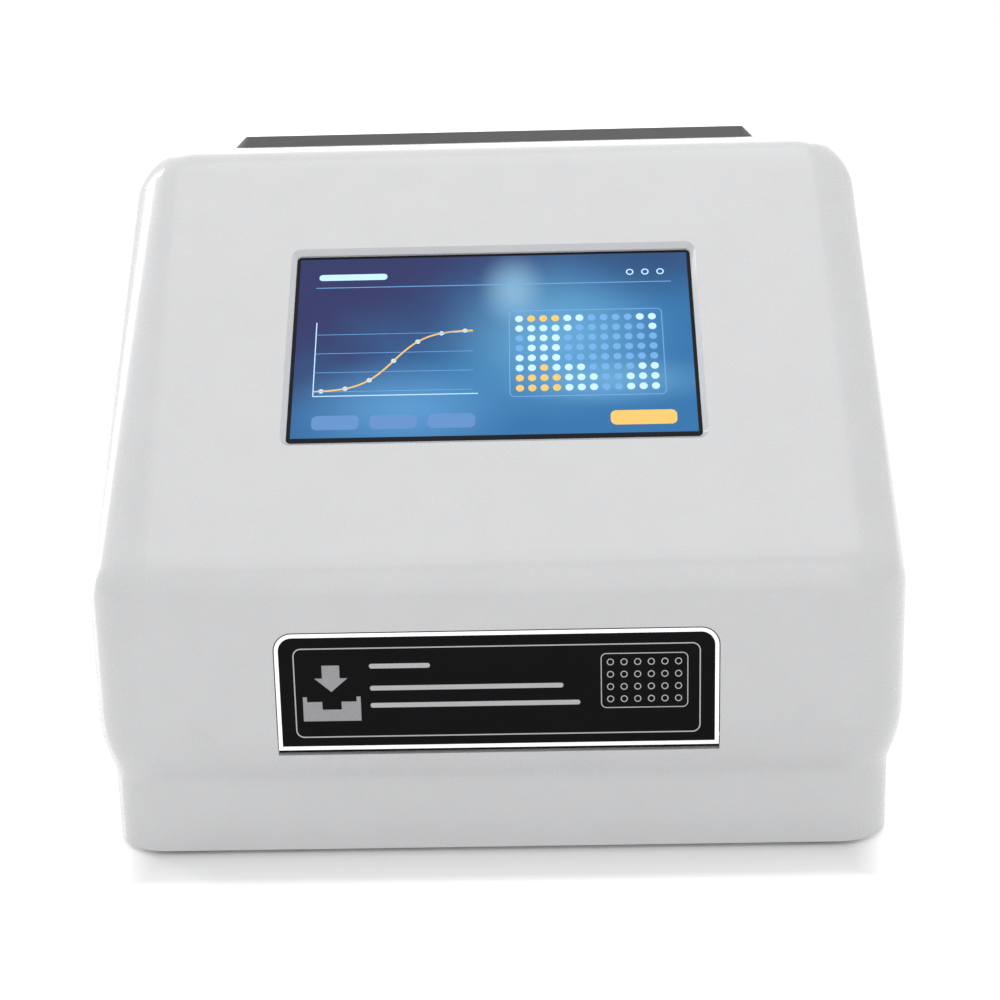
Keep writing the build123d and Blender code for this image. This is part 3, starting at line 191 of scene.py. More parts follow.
def clear_glass(name, color):
    # Clear glass with a little dust on it.
    material, bsdf, m, coords = new_material(name)
    dust = m.noise(coords, DUST_SCALE, DUST_DETAIL)
    spotted = m.mix(m.span(dust, *DUST_SPAN), shade(color, DUST_SHADE), shade(color, 1.0))
    m.feed(bsdf.inputs["Base Color"], spotted)
    gloss = m.span(dust, *DUST_GLOSS_SPAN, GLASS_ROUGH, GLASS_ROUGH + GLASS_DUST)
    m.feed(bsdf.inputs["Roughness"], gloss)
    bsdf.inputs["Transmission Weight"].default_value = 1.0
    bsdf.inputs["IOR"].default_value = GLASS_INDEX
    return material


BOARD_GREENS = ((0.010, 0.10, 0.040, 1), (0.014, 0.13, 0.055, 1))
BOARD_TRACK = (0.05, 0.25, 0.10, 1)
TRACK_SCALE, TRACK_WIDTH = 120.0, 0.03
LACQUER, BOARD_GRAIN, BOARD_ROUGH = 0.4, 600.0, (0.28, 0.42)


def board_material(name):
    # Green board with a faint pattern of tracks under the lacquer.
    material, bsdf, m, coords = new_material(name)
    brick = m.put("ShaderNodeTexBrick")
    brick.inputs["Scale"].default_value = TRACK_SCALE
    brick.inputs["Mortar Size"].default_value = TRACK_WIDTH
    m.feed(brick.inputs["Vector"], coords)
    brick.inputs["Color1"].default_value, brick.inputs["Color2"].default_value = BOARD_GREENS
    brick.inputs["Mortar"].default_value = BOARD_TRACK
    m.feed(bsdf.inputs["Base Color"], brick.outputs["Color"])
    m.feed(bsdf.inputs["Roughness"], m.span(m.noise(coords, BOARD_GRAIN), *GLOSS_SPAN, *BOARD_ROUGH))
    bsdf.inputs["Coat Weight"].default_value = LACQUER
    return material


# The black edge as a share of the screen's width and height. The opening hides some of the lower one.
EDGE_U, EDGE_LOW, EDGE_TOP = 0.0085, 0.031, 0.012
EDGE_SOFT_U, EDGE_SOFT_V = 0.0012, 0.0025
SCREEN_BLACK = (0.004, 0.004, 0.006, 1)
INDIGO, MID_BLUE = (0.028, 0.036, 0.130, 1), (0.030, 0.170, 0.400, 1)
# Soft glows: the centre and the reach, as shares of the screen, the strength and the colour.
GLOWS = (
    ((0.16, 0.55), (0.34, 0.50), 0.75, (0.150, 0.440, 0.720, 1)),
    ((-0.22, 0.18), (0.34, 0.30), 0.70, (0.120, 0.360, 0.680, 1)),
    ((0.05, 0.80), (0.10, 0.24), 0.55, (0.360, 0.640, 0.860, 1)),
    ((0.30, 0.30), (0.30, 0.16), 0.50, (0.200, 0.500, 0.780, 1)),
    ((0.42, 0.98), (0.30, 0.35), 0.80, (0.020, 0.055, 0.160, 1)),
)
# The clouded slant from the indigo to the blue: its lean, its middle and its span.
SLANT_LEAN, SLANT_MIDDLE, SLANT_SPAN = 1.1, 0.62, (-0.55, 0.35)
CLOUD_SCALE, CLOUD_DETAIL, CLOUD_SHARE = 28.0, 3.0, 0.5
SCREEN_GRAIN, SCREEN_SPAN, SCREEN_ROUGH = 500.0, (0.35, 0.65), (0.05, 0.09)
# How strongly the screen shines, how dark its unlit surface is and how much it mirrors.
SCREEN_GLOW, SCREEN_UNLIT, SCREEN_SHINE = 0.85, 0.75, 0.10


def screen_material(name):
    # A lit panel: deep indigo at the upper left, mid blue across, soft pale glows and a black edge.
    material, bsdf, m, coords = new_material(name)
    moved = m.put("ShaderNodeVectorMath", operation="SUBTRACT")
    m.feed(moved.inputs[0], coords)
    moved.inputs[1].default_value = SLOPE_FOOT + UP_SLOPE * DISPLAY_LOW

    def along(direction, length):
        dot = m.put("ShaderNodeVectorMath", operation="DOT_PRODUCT")
        m.feed(dot.inputs[0], moved.outputs[0])
        dot.inputs[1].default_value = direction / length
        return dot.outputs["Value"]

    u = along(ACROSS, DISPLAY_W)
    v = along(UP_SLOPE, DISPLAY_H)

    def glow(centre, reach):
        du = m.op("DIVIDE", m.op("SUBTRACT", u, centre[0]), reach[0])
        dv = m.op("DIVIDE", m.op("SUBTRACT", v, centre[1]), reach[1])
        far = m.op("SQRT", m.op("ADD", m.op("MULTIPLY", du, du), m.op("MULTIPLY", dv, dv)))
        return m.span(far, 0.0, 1.0, 1.0, 0.0)

    cloud = m.op("SUBTRACT", m.noise(coords, CLOUD_SCALE, CLOUD_DETAIL), 0.5)
    slant = m.op("ADD", m.op("MULTIPLY", u, SLANT_LEAN), m.op("SUBTRACT", SLANT_MIDDLE, v))
    slant = m.op("ADD", slant, m.op("MULTIPLY", cloud, CLOUD_SHARE))
    color = m.mix(m.span(slant, *SLANT_SPAN), INDIGO, MID_BLUE)
    for centre, reach, strength, tint in GLOWS:
        color = m.mix(m.op("MULTIPLY", glow(centre, reach), strength), color, tint)
    edge_u = m.op("SUBTRACT", 0.5, m.op("ABSOLUTE", u))
    inside = m.span(edge_u, EDGE_U, EDGE_U + EDGE_SOFT_U, smooth=False)
    inside = m.op("MULTIPLY", inside, m.span(v, EDGE_LOW, EDGE_LOW + EDGE_SOFT_V, smooth=False))
    above = m.span(v, 1 - EDGE_TOP - EDGE_SOFT_V, 1 - EDGE_TOP, 1.0, 0.0, smooth=False)
    inside = m.op("MULTIPLY", inside, above)
    color = m.mix(inside, SCREEN_BLACK, color)
    m.feed(bsdf.inputs["Base Color"], m.mix(SCREEN_UNLIT, color, SCREEN_BLACK))
    m.feed(bsdf.inputs["Emission Color"], color)
    bsdf.inputs["Emission Strength"].default_value = SCREEN_GLOW
    m.feed(bsdf.inputs["Roughness"], m.span(m.noise(coords, SCREEN_GRAIN), *SCREEN_SPAN, *SCREEN_ROUGH))
    bsdf.inputs["Specular IOR Level"].default_value = SCREEN_SHINE
    return material


WHITE = (0.80, 0.805, 0.815)
# Each look: colour, gloss, and how the grain, the relief and the mottle depart from the plain ones.
FINISHES = {
    "white_shell": dict(color=WHITE, rough=0.24, grain=1400, bump=0.03, vary=0.015, coat=0.35),
    "cover_grey": dict(
        color=(0.105, 0.100, 0.103), rough=0.42, grain=2200, bump=0.22, vary=0.06, shine=0.35,
    ),
    "panel_grey": dict(color=(0.46, 0.47, 0.48), rough=0.42, grain=2200, bump=0.22, vary=0.05),
    "sheet_steel": dict(
        color=(0.55, 0.56, 0.57), rough=0.32,
        metal=1.0, grain=500, bump=0.12, vary=0.10, stretch=(1, 12, 12),
    ),
    "aluminium": dict(
        color=(0.72, 0.73, 0.74), rough=0.30,
        metal=1.0, grain=500, bump=0.10, vary=0.08, stretch=(10, 1, 10),
    ),
    "ground_steel": dict(
        color=(0.72, 0.72, 0.74), rough=0.12,
        metal=1.0, grain=900, bump=0.05, vary=0.05, stretch=(1, 14, 1),
    ),
    "bronze": dict(color=(0.55, 0.36, 0.16), rough=0.34, metal=1.0, grain=900, bump=0.12, vary=0.14),
    "black_plastic": dict(color=(0.020, 0.020, 0.022), rough=0.48, grain=2500, bump=0.25, vary=0.25),
    "black_gloss": dict(
        color=(0.003, 0.003, 0.004), rough=0.08, grain=1600, bump=0.02, vary=0.20, shine=0.06,
    ),
    "silver_trim": dict(
        color=(0.88, 0.88, 0.90), rough=0.16,
        metal=0.85, grain=700, bump=0.04, vary=0.05, stretch=(1, 8, 8),
    ),
    "tray_grey": dict(color=(0.40, 0.41, 0.43), rough=0.45, grain=2400, bump=0.22, vary=0.06),
    "flap_white": dict(color=(0.70, 0.70, 0.71), rough=0.42, grain=2400, bump=0.18, vary=0.05),
    "display_panel": dict(
        color=(0.10, 0.10, 0.11), rough=0.35, metal=0.6, grain=900, bump=0.10, vary=0.12,
    ),
    "filter_glass": dict(
        color=(0.30, 0.10, 0.34), rough=0.05, grain=500, bump=0.02, vary=0.30, coat=1.0,
    ),
    "ceramic": dict(color=(0.74, 0.71, 0.64), rough=0.50, grain=1800, bump=0.25, vary=0.06),
    "rubber": dict(color=(0.022, 0.022, 0.023), rough=0.75, grain=2600, bump=0.40, vary=0.25),
    "belt_rubber": dict(
        color=(0.030, 0.030, 0.032), rough=0.65, grain=700, bump=0.45, vary=0.20, stretch=(1, 6, 1),
    ),
    "chip_black": dict(color=(0.030, 0.030, 0.033), rough=0.45, grain=2600, bump=0.20, vary=0.20),
    "motor_steel": dict(
        color=(0.050, 0.050, 0.054), rough=0.36, metal=0.4, grain=900, bump=0.18, vary=0.20,
    ),
    "blackened": dict(
        color=(0.035, 0.035, 0.037), rough=0.50, metal=0.2, grain=2000, bump=0.25, vary=0.20,
    ),
    "connector_metal": dict(
        color=(0.66, 0.66, 0.68), rough=0.24, metal=1.0, grain=900, bump=0.08, vary=0.08,
    ),
    "guide_sheath": dict(color=(0.025, 0.025, 0.030), rough=0.55, grain=1500, bump=0.35, vary=0.25),
}
MATERIALS = {name: surface(name, **look) for name, look in FINISHES.items()}
MATERIALS["display_glass"] = screen_material("display_glass")
MATERIALS["lens_glass"] = clear_glass("lens_glass", (0.90, 0.95, 0.98))
MATERIALS["bulb_glass"] = clear_glass("bulb_glass", (0.97, 0.96, 0.92))
MATERIALS["circuit_board"] = board_material("circuit_board")
for entry in frame["record"]["subparts"]:
    look = MATERIALS[entry["material_slot"]]
    slots = nodes[entry["node"]].data.materials
    if len(slots) == 0:
        slots.append(look)
    for index in range(len(slots)):
        slots[index] = look


def piece(name, mesh, body, materials):
    thing = bpy.data.objects.new(name, mesh)
    bpy.context.scene.collection.objects.link(thing)
    for material in materials:
        mesh.materials.append(material)
    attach(thing, body)


def finish_mesh(bm, name):
    mesh = bpy.data.meshes.new(name)
    bmesh.ops.recalc_face_normals(bm, faces=bm.faces)
    bm.to_mesh(mesh)
    bm.free()
    return mesh


def ring_of(x, y, radius, sides):
    # The corners of an even polygon about a centre.
    turns = [2 * math.pi * n / sides for n in range(sides)]
    return [(x + radius * math.cos(turn), y + radius * math.sin(turn)) for turn in turns]


# How thick the printed motifs are, in metres. Their places and sizes are in millimetres.
PRINT_THICK = 0.00003
MILLIMETRES = 1000


class Sheet:
    # Thin flat motifs laid on one plane: origin, the two directions in it and the one out of it.
    def __init__(self, origin, across, up, out):
        self.bm = bmesh.new()
        self.origin, self.across, self.up, self.out = origin, across, up, out

    def at(self, x, y, lift=0.0):
        flat = self.across * (x / MILLIMETRES) + self.up * (y / MILLIMETRES)
        return self.origin + flat + self.out * lift

    def outline(self, points, lift):
        return [self.bm.verts.new(self.at(x, y, lift)) for x, y in points]

    def shape(self, points, hole=None, index=0):
        # A thin plate from an outline, or a band between an outline and a hole of as many points.
        bm = self.bm
        top, low = self.outline(points, PRINT_THICK), self.outline(points, 0.0)
        count = len(points)
        faces = []
        if hole is None:
            faces.append(bm.faces.new(top))
            for n in range(count):
                faces.append(bm.faces.new((top[n], top[(n + 1) % count], low[(n + 1) % count], low[n])))
        else:
            top2, low2 = self.outline(hole, PRINT_THICK), self.outline(hole, 0.0)
            for n in range(count):
                k = (n + 1) % count
                faces.append(bm.faces.new((top[n], top[k], top2[k], top2[n])))
                faces.append(bm.faces.new((top[n], top[k], low[k], low[n])))
                faces.append(bm.faces.new((top2[n], top2[k], low2[k], low2[n])))
        for face in faces:
            face.material_index = index

    def disc(self, x, y, radius, index=0, sides=20, hole=None):
        self.shape(ring_of(x, y, radius, sides), ring_of(x, y, hole, sides) if hole else None, index)

    def rounded(self, x0, x1, y0, y1, radius, index=0, line=None, steps=6):
        # A rectangle with round corners, filled, or drawn with a line of the given width.
        def outline(inset):
            r = radius - inset
            points = []
            left, right, low, high = x0 + inset + r, x1 - inset - r, y0 + inset + r, y1 - inset - r
            centres = ((right, high, 0), (left, high, 90), (left, low, 180), (right, low, 270))
            for cx, cy, start in centres:
                for n in range(steps + 1):
                    angle = math.radians(start + 90 * n / steps)
                    points.append((cx + r * math.cos(angle), cy + r * math.sin(angle)))
            return points
        self.shape(outline(0), outline(line) if line else None, index)

    def stroke(self, points, width, index=0):
        # A ribbon of even width through the points.
        left, right = [], []
        for n, (x, y) in enumerate(points):
            ax, ay = points[max(n - 1, 0)]
            bx, by = points[min(n + 1, len(points) - 1)]
            length = math.hypot(bx - ax, by - ay)
            nx, ny = -(by - ay) / length * width / 2, (bx - ax) / length * width / 2
            left.append((x + nx, y + ny))
            right.append((x - nx, y - ny))
        for n in range(len(points) - 1):
            self.shape([left[n], left[n + 1], right[n + 1], right[n]], None, index)


# The screen's motifs, in millimetres across from its middle and up from its lower edge.
PALE, AMBER, BLUE, BUTTON = range(4)
WELL_ROWS, WELL_COLUMNS, WELL_PITCH, WELL_RADIUS = 8, 12, 4.7, 1.55
WELLS_LEFT, WELLS_LOW, WELLS_EDGE, WELLS_CORNER = 10.0, 24.0, 4.0, 2.0
# The hills of the plate map, as a wave across and one up it, and the steps that it is cut into.
WAVE_ACROSS, WAVE_UP, WAVE_SHARE = (0.55, 0.6), (0.8, -0.3), 0.8
WARM, MILD = 1.15, 0.0
GRAPH_LEFT, GRID_RIGHT, AXIS_RIGHT = -69.0, -8.0, -6.0
AXIS_LOW, AXIS_HIGH = 22.0, 57.0
GRID_LOW, GRID_STEP, GRID_LINES = 24.0, 9.0, 4
CURVE_STEPS, CURVE_RISE, CURVE_SPREAD = 40, 28.0, 4.0
CURVE_MARKS, MARK_RADIUS = range(2, CURVE_STEPS + 1, 6), 1.0
BUTTON_LOW, BUTTON_HIGH, BUTTON_CORNER = 6.5, 13.0, 2.2
BUTTON_WIDE, BUTTON_STEP, BUTTONS, LAST_BUTTON = 18.0, 22.0, 3, (44.0, 69.0)
TOP_LINE, TOP_LINE_REACH = 74.0, 70.0
TOP_BAR = (-69.0, -42.0, 77.6, 80.6, 1.4)
RINGS, RING_RIGHT, RING_STEP, RING_UP = 3, 66.0, 6.0, 79.0
RING_OUTER, RING_INNER = 1.5, 1.0
# The widths of the drawn lines.
EDGE_LINE, GRID_LINE, AXIS_LINE, CURVE_LINE, RULE_LINE = 0.35, 0.22, 0.4, 0.7, 0.35


def well_colour(row, column):
    across = math.sin(column * WAVE_ACROSS[0] + WAVE_ACROSS[1])
    heat = across + math.cos(row * WAVE_UP[0] + WAVE_UP[1]) * WAVE_SHARE
    return AMBER if heat > WARM else PALE if heat > MILD else BLUE


def display_motifs():
    foot = SLOPE_FOOT + UP_SLOPE * DISPLAY_LOW + OUT_SLOPE * GLASS_TOP
    sheet = Sheet(foot, ACROSS, UP_SLOPE, OUT_SLOPE)
    # A plate map.
    left, low = WELLS_LEFT, WELLS_LOW
    for row in range(WELL_ROWS):
        for column in range(WELL_COLUMNS):
            x, y = left + column * WELL_PITCH, low + row * WELL_PITCH
            sheet.disc(x, y, WELL_RADIUS, well_colour(row, column))
    right, high = left + (WELL_COLUMNS - 1) * WELL_PITCH, low + (WELL_ROWS - 1) * WELL_PITCH
    edge = (left - WELLS_EDGE, right + WELLS_EDGE, low - WELLS_EDGE, high + WELLS_EDGE)
    sheet.rounded(*edge, WELLS_CORNER, BLUE, line=EDGE_LINE)
    # A curve over a grid on the left.
    for n in range(GRID_LINES):
        y = GRID_LOW + n * GRID_STEP
        sheet.stroke([(GRAPH_LEFT, y), (GRID_RIGHT, y)], GRID_LINE, BLUE)
    sheet.stroke([(GRAPH_LEFT, AXIS_LOW), (GRAPH_LEFT, AXIS_HIGH)], AXIS_LINE, PALE)
    sheet.stroke([(GRAPH_LEFT, AXIS_LOW), (AXIS_RIGHT, AXIS_LOW)], AXIS_LINE, PALE)
    curve = []
    for t in range(CURVE_STEPS + 1):
        x = GRAPH_LEFT + (GRID_RIGHT - GRAPH_LEFT) * t / CURVE_STEPS
        rise = CURVE_RISE / (1 + math.exp(-(t - CURVE_STEPS / 2) / CURVE_SPREAD))
        curve.append((x, GRID_LOW + rise))
    sheet.stroke(curve, CURVE_LINE, AMBER)
    for t in CURVE_MARKS:
        sheet.disc(*curve[t], MARK_RADIUS, PALE)
    # Blank buttons, and a line at the top with a bar and three rings over it.
    for n in range(BUTTONS):
        x = GRAPH_LEFT + n * BUTTON_STEP
        sheet.rounded(x, x + BUTTON_WIDE, BUTTON_LOW, BUTTON_HIGH, BUTTON_CORNER, BUTTON)
    sheet.rounded(*LAST_BUTTON, BUTTON_LOW, BUTTON_HIGH, BUTTON_CORNER, AMBER)
    sheet.stroke([(-TOP_LINE_REACH, TOP_LINE), (TOP_LINE_REACH, TOP_LINE)], RULE_LINE, BLUE)
    for n in range(RINGS):
        sheet.disc(RING_RIGHT - n * RING_STEP, RING_UP, RING_OUTER, PALE, hole=RING_INNER)
    sheet.rounded(*TOP_BAR, PALE)
    colours = (
        surface("screen_pale", (0.45, 0.68, 0.88), 0.2, grain=800, glow=0.55),
        surface("screen_amber", (0.80, 0.48, 0.10), 0.2, grain=800, glow=0.45),
        surface("screen_blue", (0.10, 0.30, 0.60), 0.2, grain=800, glow=0.55),
        surface("screen_button", (0.06, 0.18, 0.42), 0.2, grain=800, glow=0.6),
    )
    piece("screen_motifs", finish_mesh(sheet.bm, "screen_motifs"), "chassis", colours)


# The label's motifs, in millimetres across from its middle and up from the ground.
LINE, GREY = range(2)
LABEL_EDGE, LABEL_CORNER, LABEL_LINE = (-73.5, 73.5, 47.8, 82.1), 3.0, 0.45
TRAY_X = -60.0
TRAY_SHAPES = (
    [(-3.2, 75.5), (3.2, 75.5), (3.2, 70.6), (-3.2, 70.6)],
    [(-6.0, 70.6), (6.0, 70.6), (0.0, 65.4)],
    [(-10.5, 63.5), (-9.0, 63.5), (-9.0, 61.6), (-10.5, 61.6)],
    [(9.0, 63.5), (10.5, 63.5), (10.5, 61.6), (9.0, 61.6)],
    [(-10.5, 61.6), (-3.5, 61.6), (-3.5, 58.6), (-10.5, 58.6)],
    [(3.5, 61.6), (10.5, 61.6), (10.5, 58.6), (3.5, 58.6)],
    [(-10.5, 58.6), (10.5, 58.6), (10.5, 54.2), (-10.5, 54.2)],
)
BARS_LEFT, BAR_HALF, BAR_CORNER = -46.0, 0.9, 0.85
BARS = ((-24.0, 75.0), (24.0, 66.6), (30.0, 60.0))
PLATE_EDGE, PLATE_CORNER, PLATE_LINE = (37.5, 69.0, 57.5, 78.5), 2.0, 0.35
PLATE_LEFT, PLATE_LOW, PLATE_STEP_X, PLATE_STEP_Y = 41.0, 61.0, 4.9, 4.7
PLATE_ROWS, PLATE_COLUMNS, PLATE_OUTER, PLATE_INNER = 4, 6, 1.3, 0.95


def label_motifs():
    sheet = Sheet(Vector((0, LABEL_Y, 0)), ACROSS, Vector((0, 0, 1)), Vector((0, -1, 0)))
    sheet.rounded(*LABEL_EDGE, LABEL_CORNER, LINE, line=LABEL_LINE, steps=8)
    # An open tray and an arrow over it.
    for points in TRAY_SHAPES:
        sheet.shape([(TRAY_X + x, z) for x, z in points], None, GREY)
    # Plain bars.
    for right, middle in BARS:
        sheet.rounded(BARS_LEFT, right, middle - BAR_HALF, middle + BAR_HALF, BAR_CORNER, LINE)
    # A plate drawn in thin lines.
    sheet.rounded(*PLATE_EDGE, PLATE_CORNER, LINE, line=PLATE_LINE)
    for row in range(PLATE_ROWS):
        for column in range(PLATE_COLUMNS):
            x, y = PLATE_LEFT + column * PLATE_STEP_X, PLATE_LOW + row * PLATE_STEP_Y
            sheet.disc(x, y, PLATE_OUTER, LINE, sides=14, hole=PLATE_INNER)
    colours = (
        surface("label_line", (0.62, 0.62, 0.64), 0.3, grain=900),
        surface("label_grey", (0.42, 0.42, 0.44), 0.3, grain=900),
    )
    piece("label_motifs", finish_mesh(sheet.bm, "label_motifs"), "flap", colours)


# A screw head from its foot to the bottom of its socket: radius and height as shares of the
# head's own, and whether the ring is a hexagon.
HEAD_RINGS = (
    (1.0, 0.0, False), (1.0, 0.45, False), (0.93, 0.75, False), (0.75, 0.95, False),
    (0.55, 1.0, False), (0.50, 0.97, True), (0.46, 0.35, True),
)
HEAD_SIDES = 24
HEXAGON_HALF = math.pi / 6
HEAD_HIGH, LOW_HEAD = 0.0016, 0.0008


def screw_heads(name, body, radius, high, places):
    # Domed heads with a hexagon socket, each at a place with the direction it faces.
    bm = bmesh.new()
    for centre, normal in places:
        centre, normal = Vector(centre), Vector(normal)
        side = normal.orthogonal().normalized()
        other = normal.cross(side)
        rings = []
        for share, lift, hexagon in HEAD_RINGS:
            ring = []
            for n in range(HEAD_SIDES):
                angle = 2 * math.pi * n / HEAD_SIDES
                reach = radius * share
                if hexagon:
                    part = angle % (2 * HEXAGON_HALF) - HEXAGON_HALF
                    reach *= math.cos(HEXAGON_HALF) / math.cos(part)
                out = (side * math.cos(angle) + other * math.sin(angle)) * reach
                ring.append(bm.verts.new(centre + out + normal * high * lift))
            rings.append(ring)
        for a, b in zip(rings, rings[1:]):
            for n in range(HEAD_SIDES):
                k = (n + 1) % HEAD_SIDES
                bm.faces.new((a[n], a[k], b[k], b[n]))
        bm.faces.new(rings[-1])
    piece(name, finish_mesh(bm, name), body, (MATERIALS["ground_steel"],))


def corners(x, y):
    return [(sx * x, sy * y) for sx in (-1, 1) for sy in (-1, 1)]


# Where the screws sit, in metres: the rear panel's face, the underside and the seats inside.
REAR_FACE, UNDERSIDE = 0.167, 0.004
PANEL_X, PANEL_Z = 0.106, (0.0620, 0.1300, 0.1980)
SKIRT_X, SKIRT_Y = 0.1385, (-0.092, 0.0, 0.092)
SKIRT_ENDS = (0.076, 0.1575)
FAN_X, FAN_Z, FAN_HALF = -0.040, 0.160, 0.025
MOTOR_PLACE, MOTOR_HALF = (0.0985, 0.127, 0.052), 0.0155
BRIDGE_Y, BRIDGE_Z, BRIDGE_HALF = -0.040, 0.010, (0.1105, 0.013)
ROD_X, ROD_Y, ROD_Z = 0.084, (-0.152, 0.121), 0.060
CARRIAGE_Y, CARRIAGE_Z, CARRIAGE_HALF = 0.095, 0.066, (0.030, 0.009)
BACKWARD, DOWNWARD, UPWARD, LEFTWARD = (0, 1, 0), (0, 0, -1), (0, 0, 1), (-1, 0, 0)


def all_screws():
    panel = [((sx * PANEL_X, REAR_FACE, z), BACKWARD) for sx in (-1, 1) for z in PANEL_Z]
    screw_heads("rear_screws", "chassis", 0.0028, HEAD_HIGH, panel)
    under = [((sx * SKIRT_X, y, UNDERSIDE), DOWNWARD) for sx in (-1, 1) for y in SKIRT_Y]
    under += [((x, y, UNDERSIDE), DOWNWARD) for x, y in corners(*SKIRT_ENDS)]
    screw_heads("base_screws", "chassis", 0.0032, HEAD_HIGH, under)
    fan = [((FAN_X + x, REAR_FACE, FAN_Z + z), BACKWARD) for x, z in corners(FAN_HALF, FAN_HALF)]
    screw_heads("fan_screws", "chassis", 0.0026, HEAD_HIGH, fan)
    face, middle, up = MOTOR_PLACE
    motor = [((face, middle + y, up + z), LEFTWARD) for y, z in corners(MOTOR_HALF, MOTOR_HALF)]
    screw_heads("motor_screws", "chassis", 0.0026, LOW_HEAD, motor)
    bridge = [((x, BRIDGE_Y + y, BRIDGE_Z), UPWARD) for x, y in corners(*BRIDGE_HALF)]
    screw_heads("bridge_screws", "chassis", 0.0035, HEAD_HIGH, bridge)
    rods = [((sx * ROD_X, y, ROD_Z), UPWARD) for sx in (-1, 1) for y in ROD_Y]
    screw_heads("rod_screws", "chassis", 0.0022, HEAD_HIGH, rods)
    carriage = [((x, CARRIAGE_Y + y, CARRIAGE_Z), UPWARD) for x, y in corners(*CARRIAGE_HALF)]
    screw_heads("carriage_screws", "carrier", 0.0028, HEAD_HIGH, carriage)


# The lamps: place, aim, width, height and power.
LAMPS = {
    "top_soft": ((0.1, -0.25, 1.6), (0, 0, 0.15), 1.6, 1.6, 6.6),
    "front_soft": ((0.2, -1.8, 0.9), (0, 0, 0.12), 1.2, 1.2, 3.0),
    "left_strip": ((-1.25, 0.72, 0.55), (-0.1, 0, 0.15), 0.22, 1.4, 6.0),
    "back_soft": ((0.0, 1.5, 1.1), (0, 0, 0.2), 1.6, 0.9, 8.0),
}
# The light that comes from all round, and the plain white that the camera sees there.
ROUND_LIGHT, SEEN_WHITE = 0.54, 1.0
WHITE_LIGHT = (1, 1, 1, 1)
FLOOR_SIZE, FLOOR_COLOUR, FLOOR_ROUGH = 6.0, (0.90, 0.90, 0.90, 1), 0.10
# How much the floor glows, and how little it glows in the band of painted shade in front of the base,
# which stands in for the base's shadow and reflection there.
FLOOR_GLOW = 0.55
PAINTED_SHADE_GLOW = (0.03, 0.19)
# Where the painted shade starts and ends before the middle, and how softly it ends there, at its sides
# and under the base.
PAINTED_SHADE_NEAR, PAINTED_SHADE_FAR = 0.165, 0.191
PAINTED_SHADE_SOFT, PAINTED_SHADE_SIDE, PAINTED_SHADE_BACK = 0.006, (0.126, 0.150), (0.14, 0.15)


def lamp(name, place, aim, width, height, power):
    data = bpy.data.lights.new(name, "AREA")
    data.shape = "RECTANGLE"
    data.size, data.size_y = width, height
    data.energy = power
    thing = bpy.data.objects.new(name, data)
    bpy.context.scene.collection.objects.link(thing)
    thing.location = place
    thing.rotation_euler = (Vector(aim) - Vector(place)).to_track_quat("-Z", "Y").to_euler()


def white_seen(m, amount):
    # The amount of plain white that camera, mirror and glass rays meet.
    path = m.put("ShaderNodeLightPath").outputs
    mirrored = m.op("MAXIMUM", path["Is Glossy Ray"], path["Is Transmission Ray"])
    return m.op("MULTIPLY", m.op("MAXIMUM", path["Is Camera Ray"], mirrored), amount)


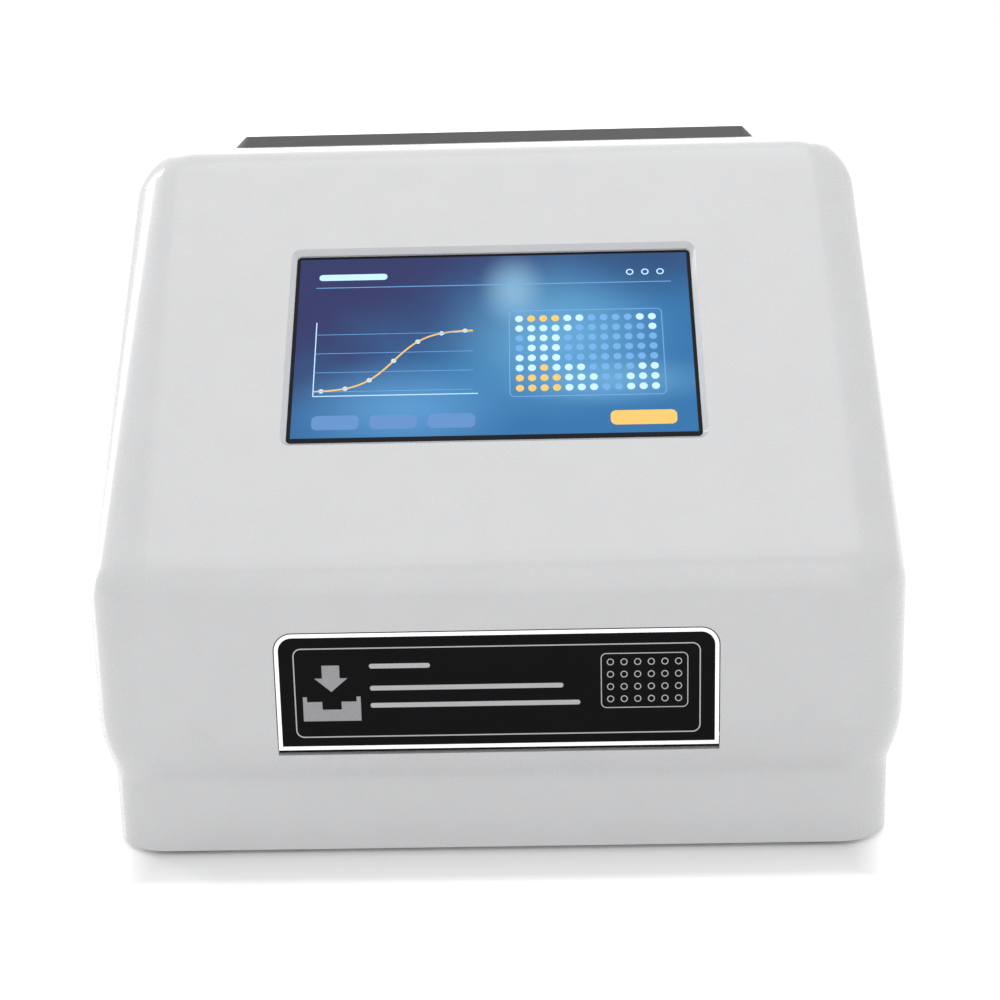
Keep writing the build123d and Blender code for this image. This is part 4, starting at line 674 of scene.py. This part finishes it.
def floor_glow_and_painted_shade(m):
    # The floor's own light at each point of it, lowered in a band in front of the base: painted shade
    # for the base's shadow and reflection.
    place = m.put("ShaderNodeSeparateXYZ")
    m.feed(place.inputs[0], m.put("ShaderNodeTexCoord").outputs["Object"])
    ahead = m.op("MULTIPLY", place.outputs["Y"], -1.0)
    aside = m.op("ABSOLUTE", place.outputs["X"])
    # Painted shade: the floor's glow is cut low just in front of the base and rises again further out.
    painted_shade = m.span(ahead, PAINTED_SHADE_NEAR, PAINTED_SHADE_FAR, *PAINTED_SHADE_GLOW, smooth=False)
    end = m.span(ahead, PAINTED_SHADE_FAR - PAINTED_SHADE_SOFT, PAINTED_SHADE_FAR + PAINTED_SHADE_SOFT)
    outside_painted_shade = m.op("MAXIMUM", end, m.span(aside, *PAINTED_SHADE_SIDE))
    outside_painted_shade = m.op("MAXIMUM", outside_painted_shade, m.span(ahead, *PAINTED_SHADE_BACK, 1.0, 0.0))
    return m.op("ADD", painted_shade, m.op("MULTIPLY", outside_painted_shade, m.op("SUBTRACT", FLOOR_GLOW, painted_shade)))


def floor():
    bm = bmesh.new()
    bmesh.ops.create_grid(bm, x_segments=2, y_segments=2, size=FLOOR_SIZE)
    mesh = bpy.data.meshes.new("floor")
    bm.to_mesh(mesh)
    bm.free()
    thing = bpy.data.objects.new("floor", mesh)
    bpy.context.scene.collection.objects.link(thing)
    material = bpy.data.materials.new("floor")
    material.use_nodes = True
    tree = material.node_tree
    bsdf = tree.nodes["Principled BSDF"]
    bsdf.inputs["Base Color"].default_value = FLOOR_COLOUR
    bsdf.inputs["Roughness"].default_value = FLOOR_ROUGH
    m = Maths(tree)
    light = m.put("ShaderNodeEmission")
    m.feed(light.inputs["Strength"], white_seen(m, floor_glow_and_painted_shade(m)))
    adder = m.put("ShaderNodeAddShader")
    m.feed(adder.inputs[0], bsdf.outputs[0])
    m.feed(adder.inputs[1], light.outputs[0])
    m.feed(tree.nodes["Material Output"].inputs["Surface"], adder.outputs[0])
    mesh.materials.append(material)


def surroundings():
    world = bpy.data.worlds.new("studio")
    world.use_nodes = True
    bpy.context.scene.world = world
    tree = world.node_tree
    m = Maths(tree)
    plain, bright = tree.nodes["Background"], m.put("ShaderNodeBackground")
    for background, strength in ((plain, ROUND_LIGHT), (bright, SEEN_WHITE)):
        background.inputs["Color"].default_value = WHITE_LIGHT
        background.inputs["Strength"].default_value = strength
    mixer = m.put("ShaderNodeMixShader")
    m.feed(mixer.inputs[0], white_seen(m, 1.0))
    m.feed(mixer.inputs[1], plain.outputs[0])
    m.feed(mixer.inputs[2], bright.outputs[0])
    m.feed(tree.nodes["World Output"].inputs["Surface"], mixer.outputs[0])


camera()
display_motifs()
label_motifs()
all_screws()
floor()
surroundings()
for title, setting in LAMPS.items():
    lamp(title, *setting)
scene = bpy.context.scene
scene.view_settings.view_transform = "Standard"
bpy.context.view_layer.update()
